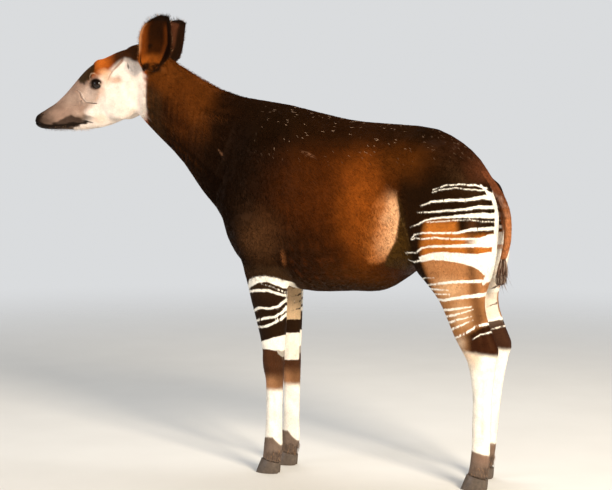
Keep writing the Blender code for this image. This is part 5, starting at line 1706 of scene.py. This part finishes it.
def build_stage(settings):
    bm = bmesh.new()
    bmesh.ops.create_grid(bm, x_segments=1, y_segments=1, size=20.0)
    floor = new_object("floor", mesh_from(bm, "floor"))
    floor.data.materials.append(floor_material())
    world = bpy.data.worlds.new("studio")
    bpy.context.scene.world = world
    world.use_nodes = True
    tree = world.node_tree
    back = tree.nodes["Background"]
    back.inputs["Color"].default_value = (*linear("#EEF0F2"), 1.0)
    path = add_node(tree, "ShaderNodeLightPath").outputs
    values = {"To Min": settings.ambient, "To Max": settings.backdrop}
    strength = add_node(tree, "ShaderNodeMapRange", values, {"Value": path["Is Camera Ray"]})
    values = {"To Min": 1.0, "To Max": 0.3}
    dimmed = add_node(tree, "ShaderNodeMapRange", values, {"Value": path["Is Glossy Ray"]})
    links = {0: strength.outputs["Result"], 1: dimmed.outputs["Result"]}
    both = add_node(tree, "ShaderNodeMath", links=links, operation="MULTIPLY")
    tree.links.new(both.outputs["Value"], back.inputs["Strength"])
    area_light("key", (5.0, -4.4, 3.9), (0.1, 0.0, 1.0), (1.8, 1.8), settings.key_watts, "#FFF0DA")
    area_light("fill", (-4.5, -5.0, 2.6), (0.0, 0.0, 1.1), (3.0, 3.0), settings.fill_watts, "#F2F5FF")
    area_light("top", (0.0, 1.5, 5.0), (0.1, 0.0, 1.0), (3.0, 2.0), settings.top_watts, "#FFFFFF")
    bpy.context.scene.view_settings.view_transform = "Standard"


class OkapiSkinSettings(bpy.types.PropertyGroup):
    voxel: FloatProperty(
        name="Face size", description="Size of the skin's faces", default=0.0026, unit="LENGTH"
    )
    calming: IntProperty(name="Calming", description="Times the trunk is smoothed", default=260)
    triangles: IntProperty(name="Triangles", description="Triangles left in the skin", default=105000)
    most_triangles: IntProperty(
        name="Most triangles", description="Triangles with the finer borders", default=190000
    )
    marking_edge: FloatProperty(
        name="Marking edge",
        description="Longest edge across a marking's border",
        default=0.0024,
        unit="LENGTH",
    )


class OkapiCoatSettings(bpy.types.PropertyGroup):
    length: FloatProperty(
        name="Length", description="Length of the coat beside the natural one", default=1.0
    )
    shade: FloatProperty(name="Shade", description="How much tufts differ in brightness", default=0.16)


class OkapiStageSettings(bpy.types.PropertyGroup):
    ambient: FloatProperty(name="Ambient", description="Strength of the light all round", default=0.38)
    backdrop: FloatProperty(name="Backdrop", description="Brightness of the backdrop", default=0.82)
    key_watts: FloatProperty(name="Key", description="Power of the main light", default=760.0, unit="POWER")
    fill_watts: FloatProperty(
        name="Fill", description="Power of the fill light", default=130.0, unit="POWER"
    )
    top_watts: FloatProperty(
        name="Top", description="Power of the light above", default=120.0, unit="POWER"
    )


class OKAPI_OT_skin_and_coat(bpy.types.Operator):
    """Build the skin and the short coat over it"""

    bl_idname = "okapi.skin_and_coat"
    bl_label = "Skin and coat"

    def execute(self, context):
        skin = build_skin(context.scene.okapi_skin)
        arrays = Skin(skin)
        finish_skin(skin, arrays)
        material = hair_material("okapi_hair", 0.0, 0.46)
        build_coat(arrays, context.scene.okapi_coat, material)
        build_fringes(arrays, material)
        build_lashes(material)
        build_tail_brush(material)
        return {"FINISHED"}


class OKAPI_OT_eyes(bpy.types.Operator):
    """Build both eyeballs"""

    bl_idname = "okapi.eyes"
    bl_label = "Eyes"

    def execute(self, context):
        build_eyes()
        return {"FINISHED"}


class OKAPI_OT_hooves(bpy.types.Operator):
    """Build the eight claws of the cloven hooves"""

    bl_idname = "okapi.hooves"
    bl_label = "Hooves"

    def execute(self, context):
        build_hooves()
        return {"FINISHED"}


class OKAPI_OT_stage(bpy.types.Operator):
    """Build the floor, the lights and the camera"""

    bl_idname = "okapi.stage"
    bl_label = "Stage"

    def execute(self, context):
        build_stage(context.scene.okapi_stage)
        build_camera()
        return {"FINISHED"}


OPERATORS = (OKAPI_OT_skin_and_coat, OKAPI_OT_eyes, OKAPI_OT_hooves, OKAPI_OT_stage)


class OKAPI_PT_panel(bpy.types.Panel):
    """The pieces of the okapi, in the order they are built"""

    bl_label = "Okapi"
    bl_idname = "OKAPI_PT_panel"
    bl_space_type = "VIEW_3D"
    bl_region_type = "UI"
    bl_category = "Okapi"

    def draw(self, context):
        for operator in OPERATORS:
            self.layout.operator(operator.bl_idname)


GROUPS = {
    "okapi_skin": OkapiSkinSettings,
    "okapi_coat": OkapiCoatSettings,
    "okapi_stage": OkapiStageSettings,
}


def register():
    for cls in (*GROUPS.values(), *OPERATORS, OKAPI_PT_panel):
        bpy.utils.register_class(cls)
    for name, group in GROUPS.items():
        setattr(bpy.types.Scene, name, PointerProperty(type=group))


def unregister():
    for name in GROUPS:
        delattr(bpy.types.Scene, name)
    for cls in reversed((*GROUPS.values(), *OPERATORS, OKAPI_PT_panel)):
        bpy.utils.unregister_class(cls)


def main():
    register()
    bpy.ops.okapi.stage()
    bpy.ops.okapi.skin_and_coat()
    bpy.ops.okapi.eyes()
    bpy.ops.okapi.hooves()


if __name__ == "__main__":
    main()
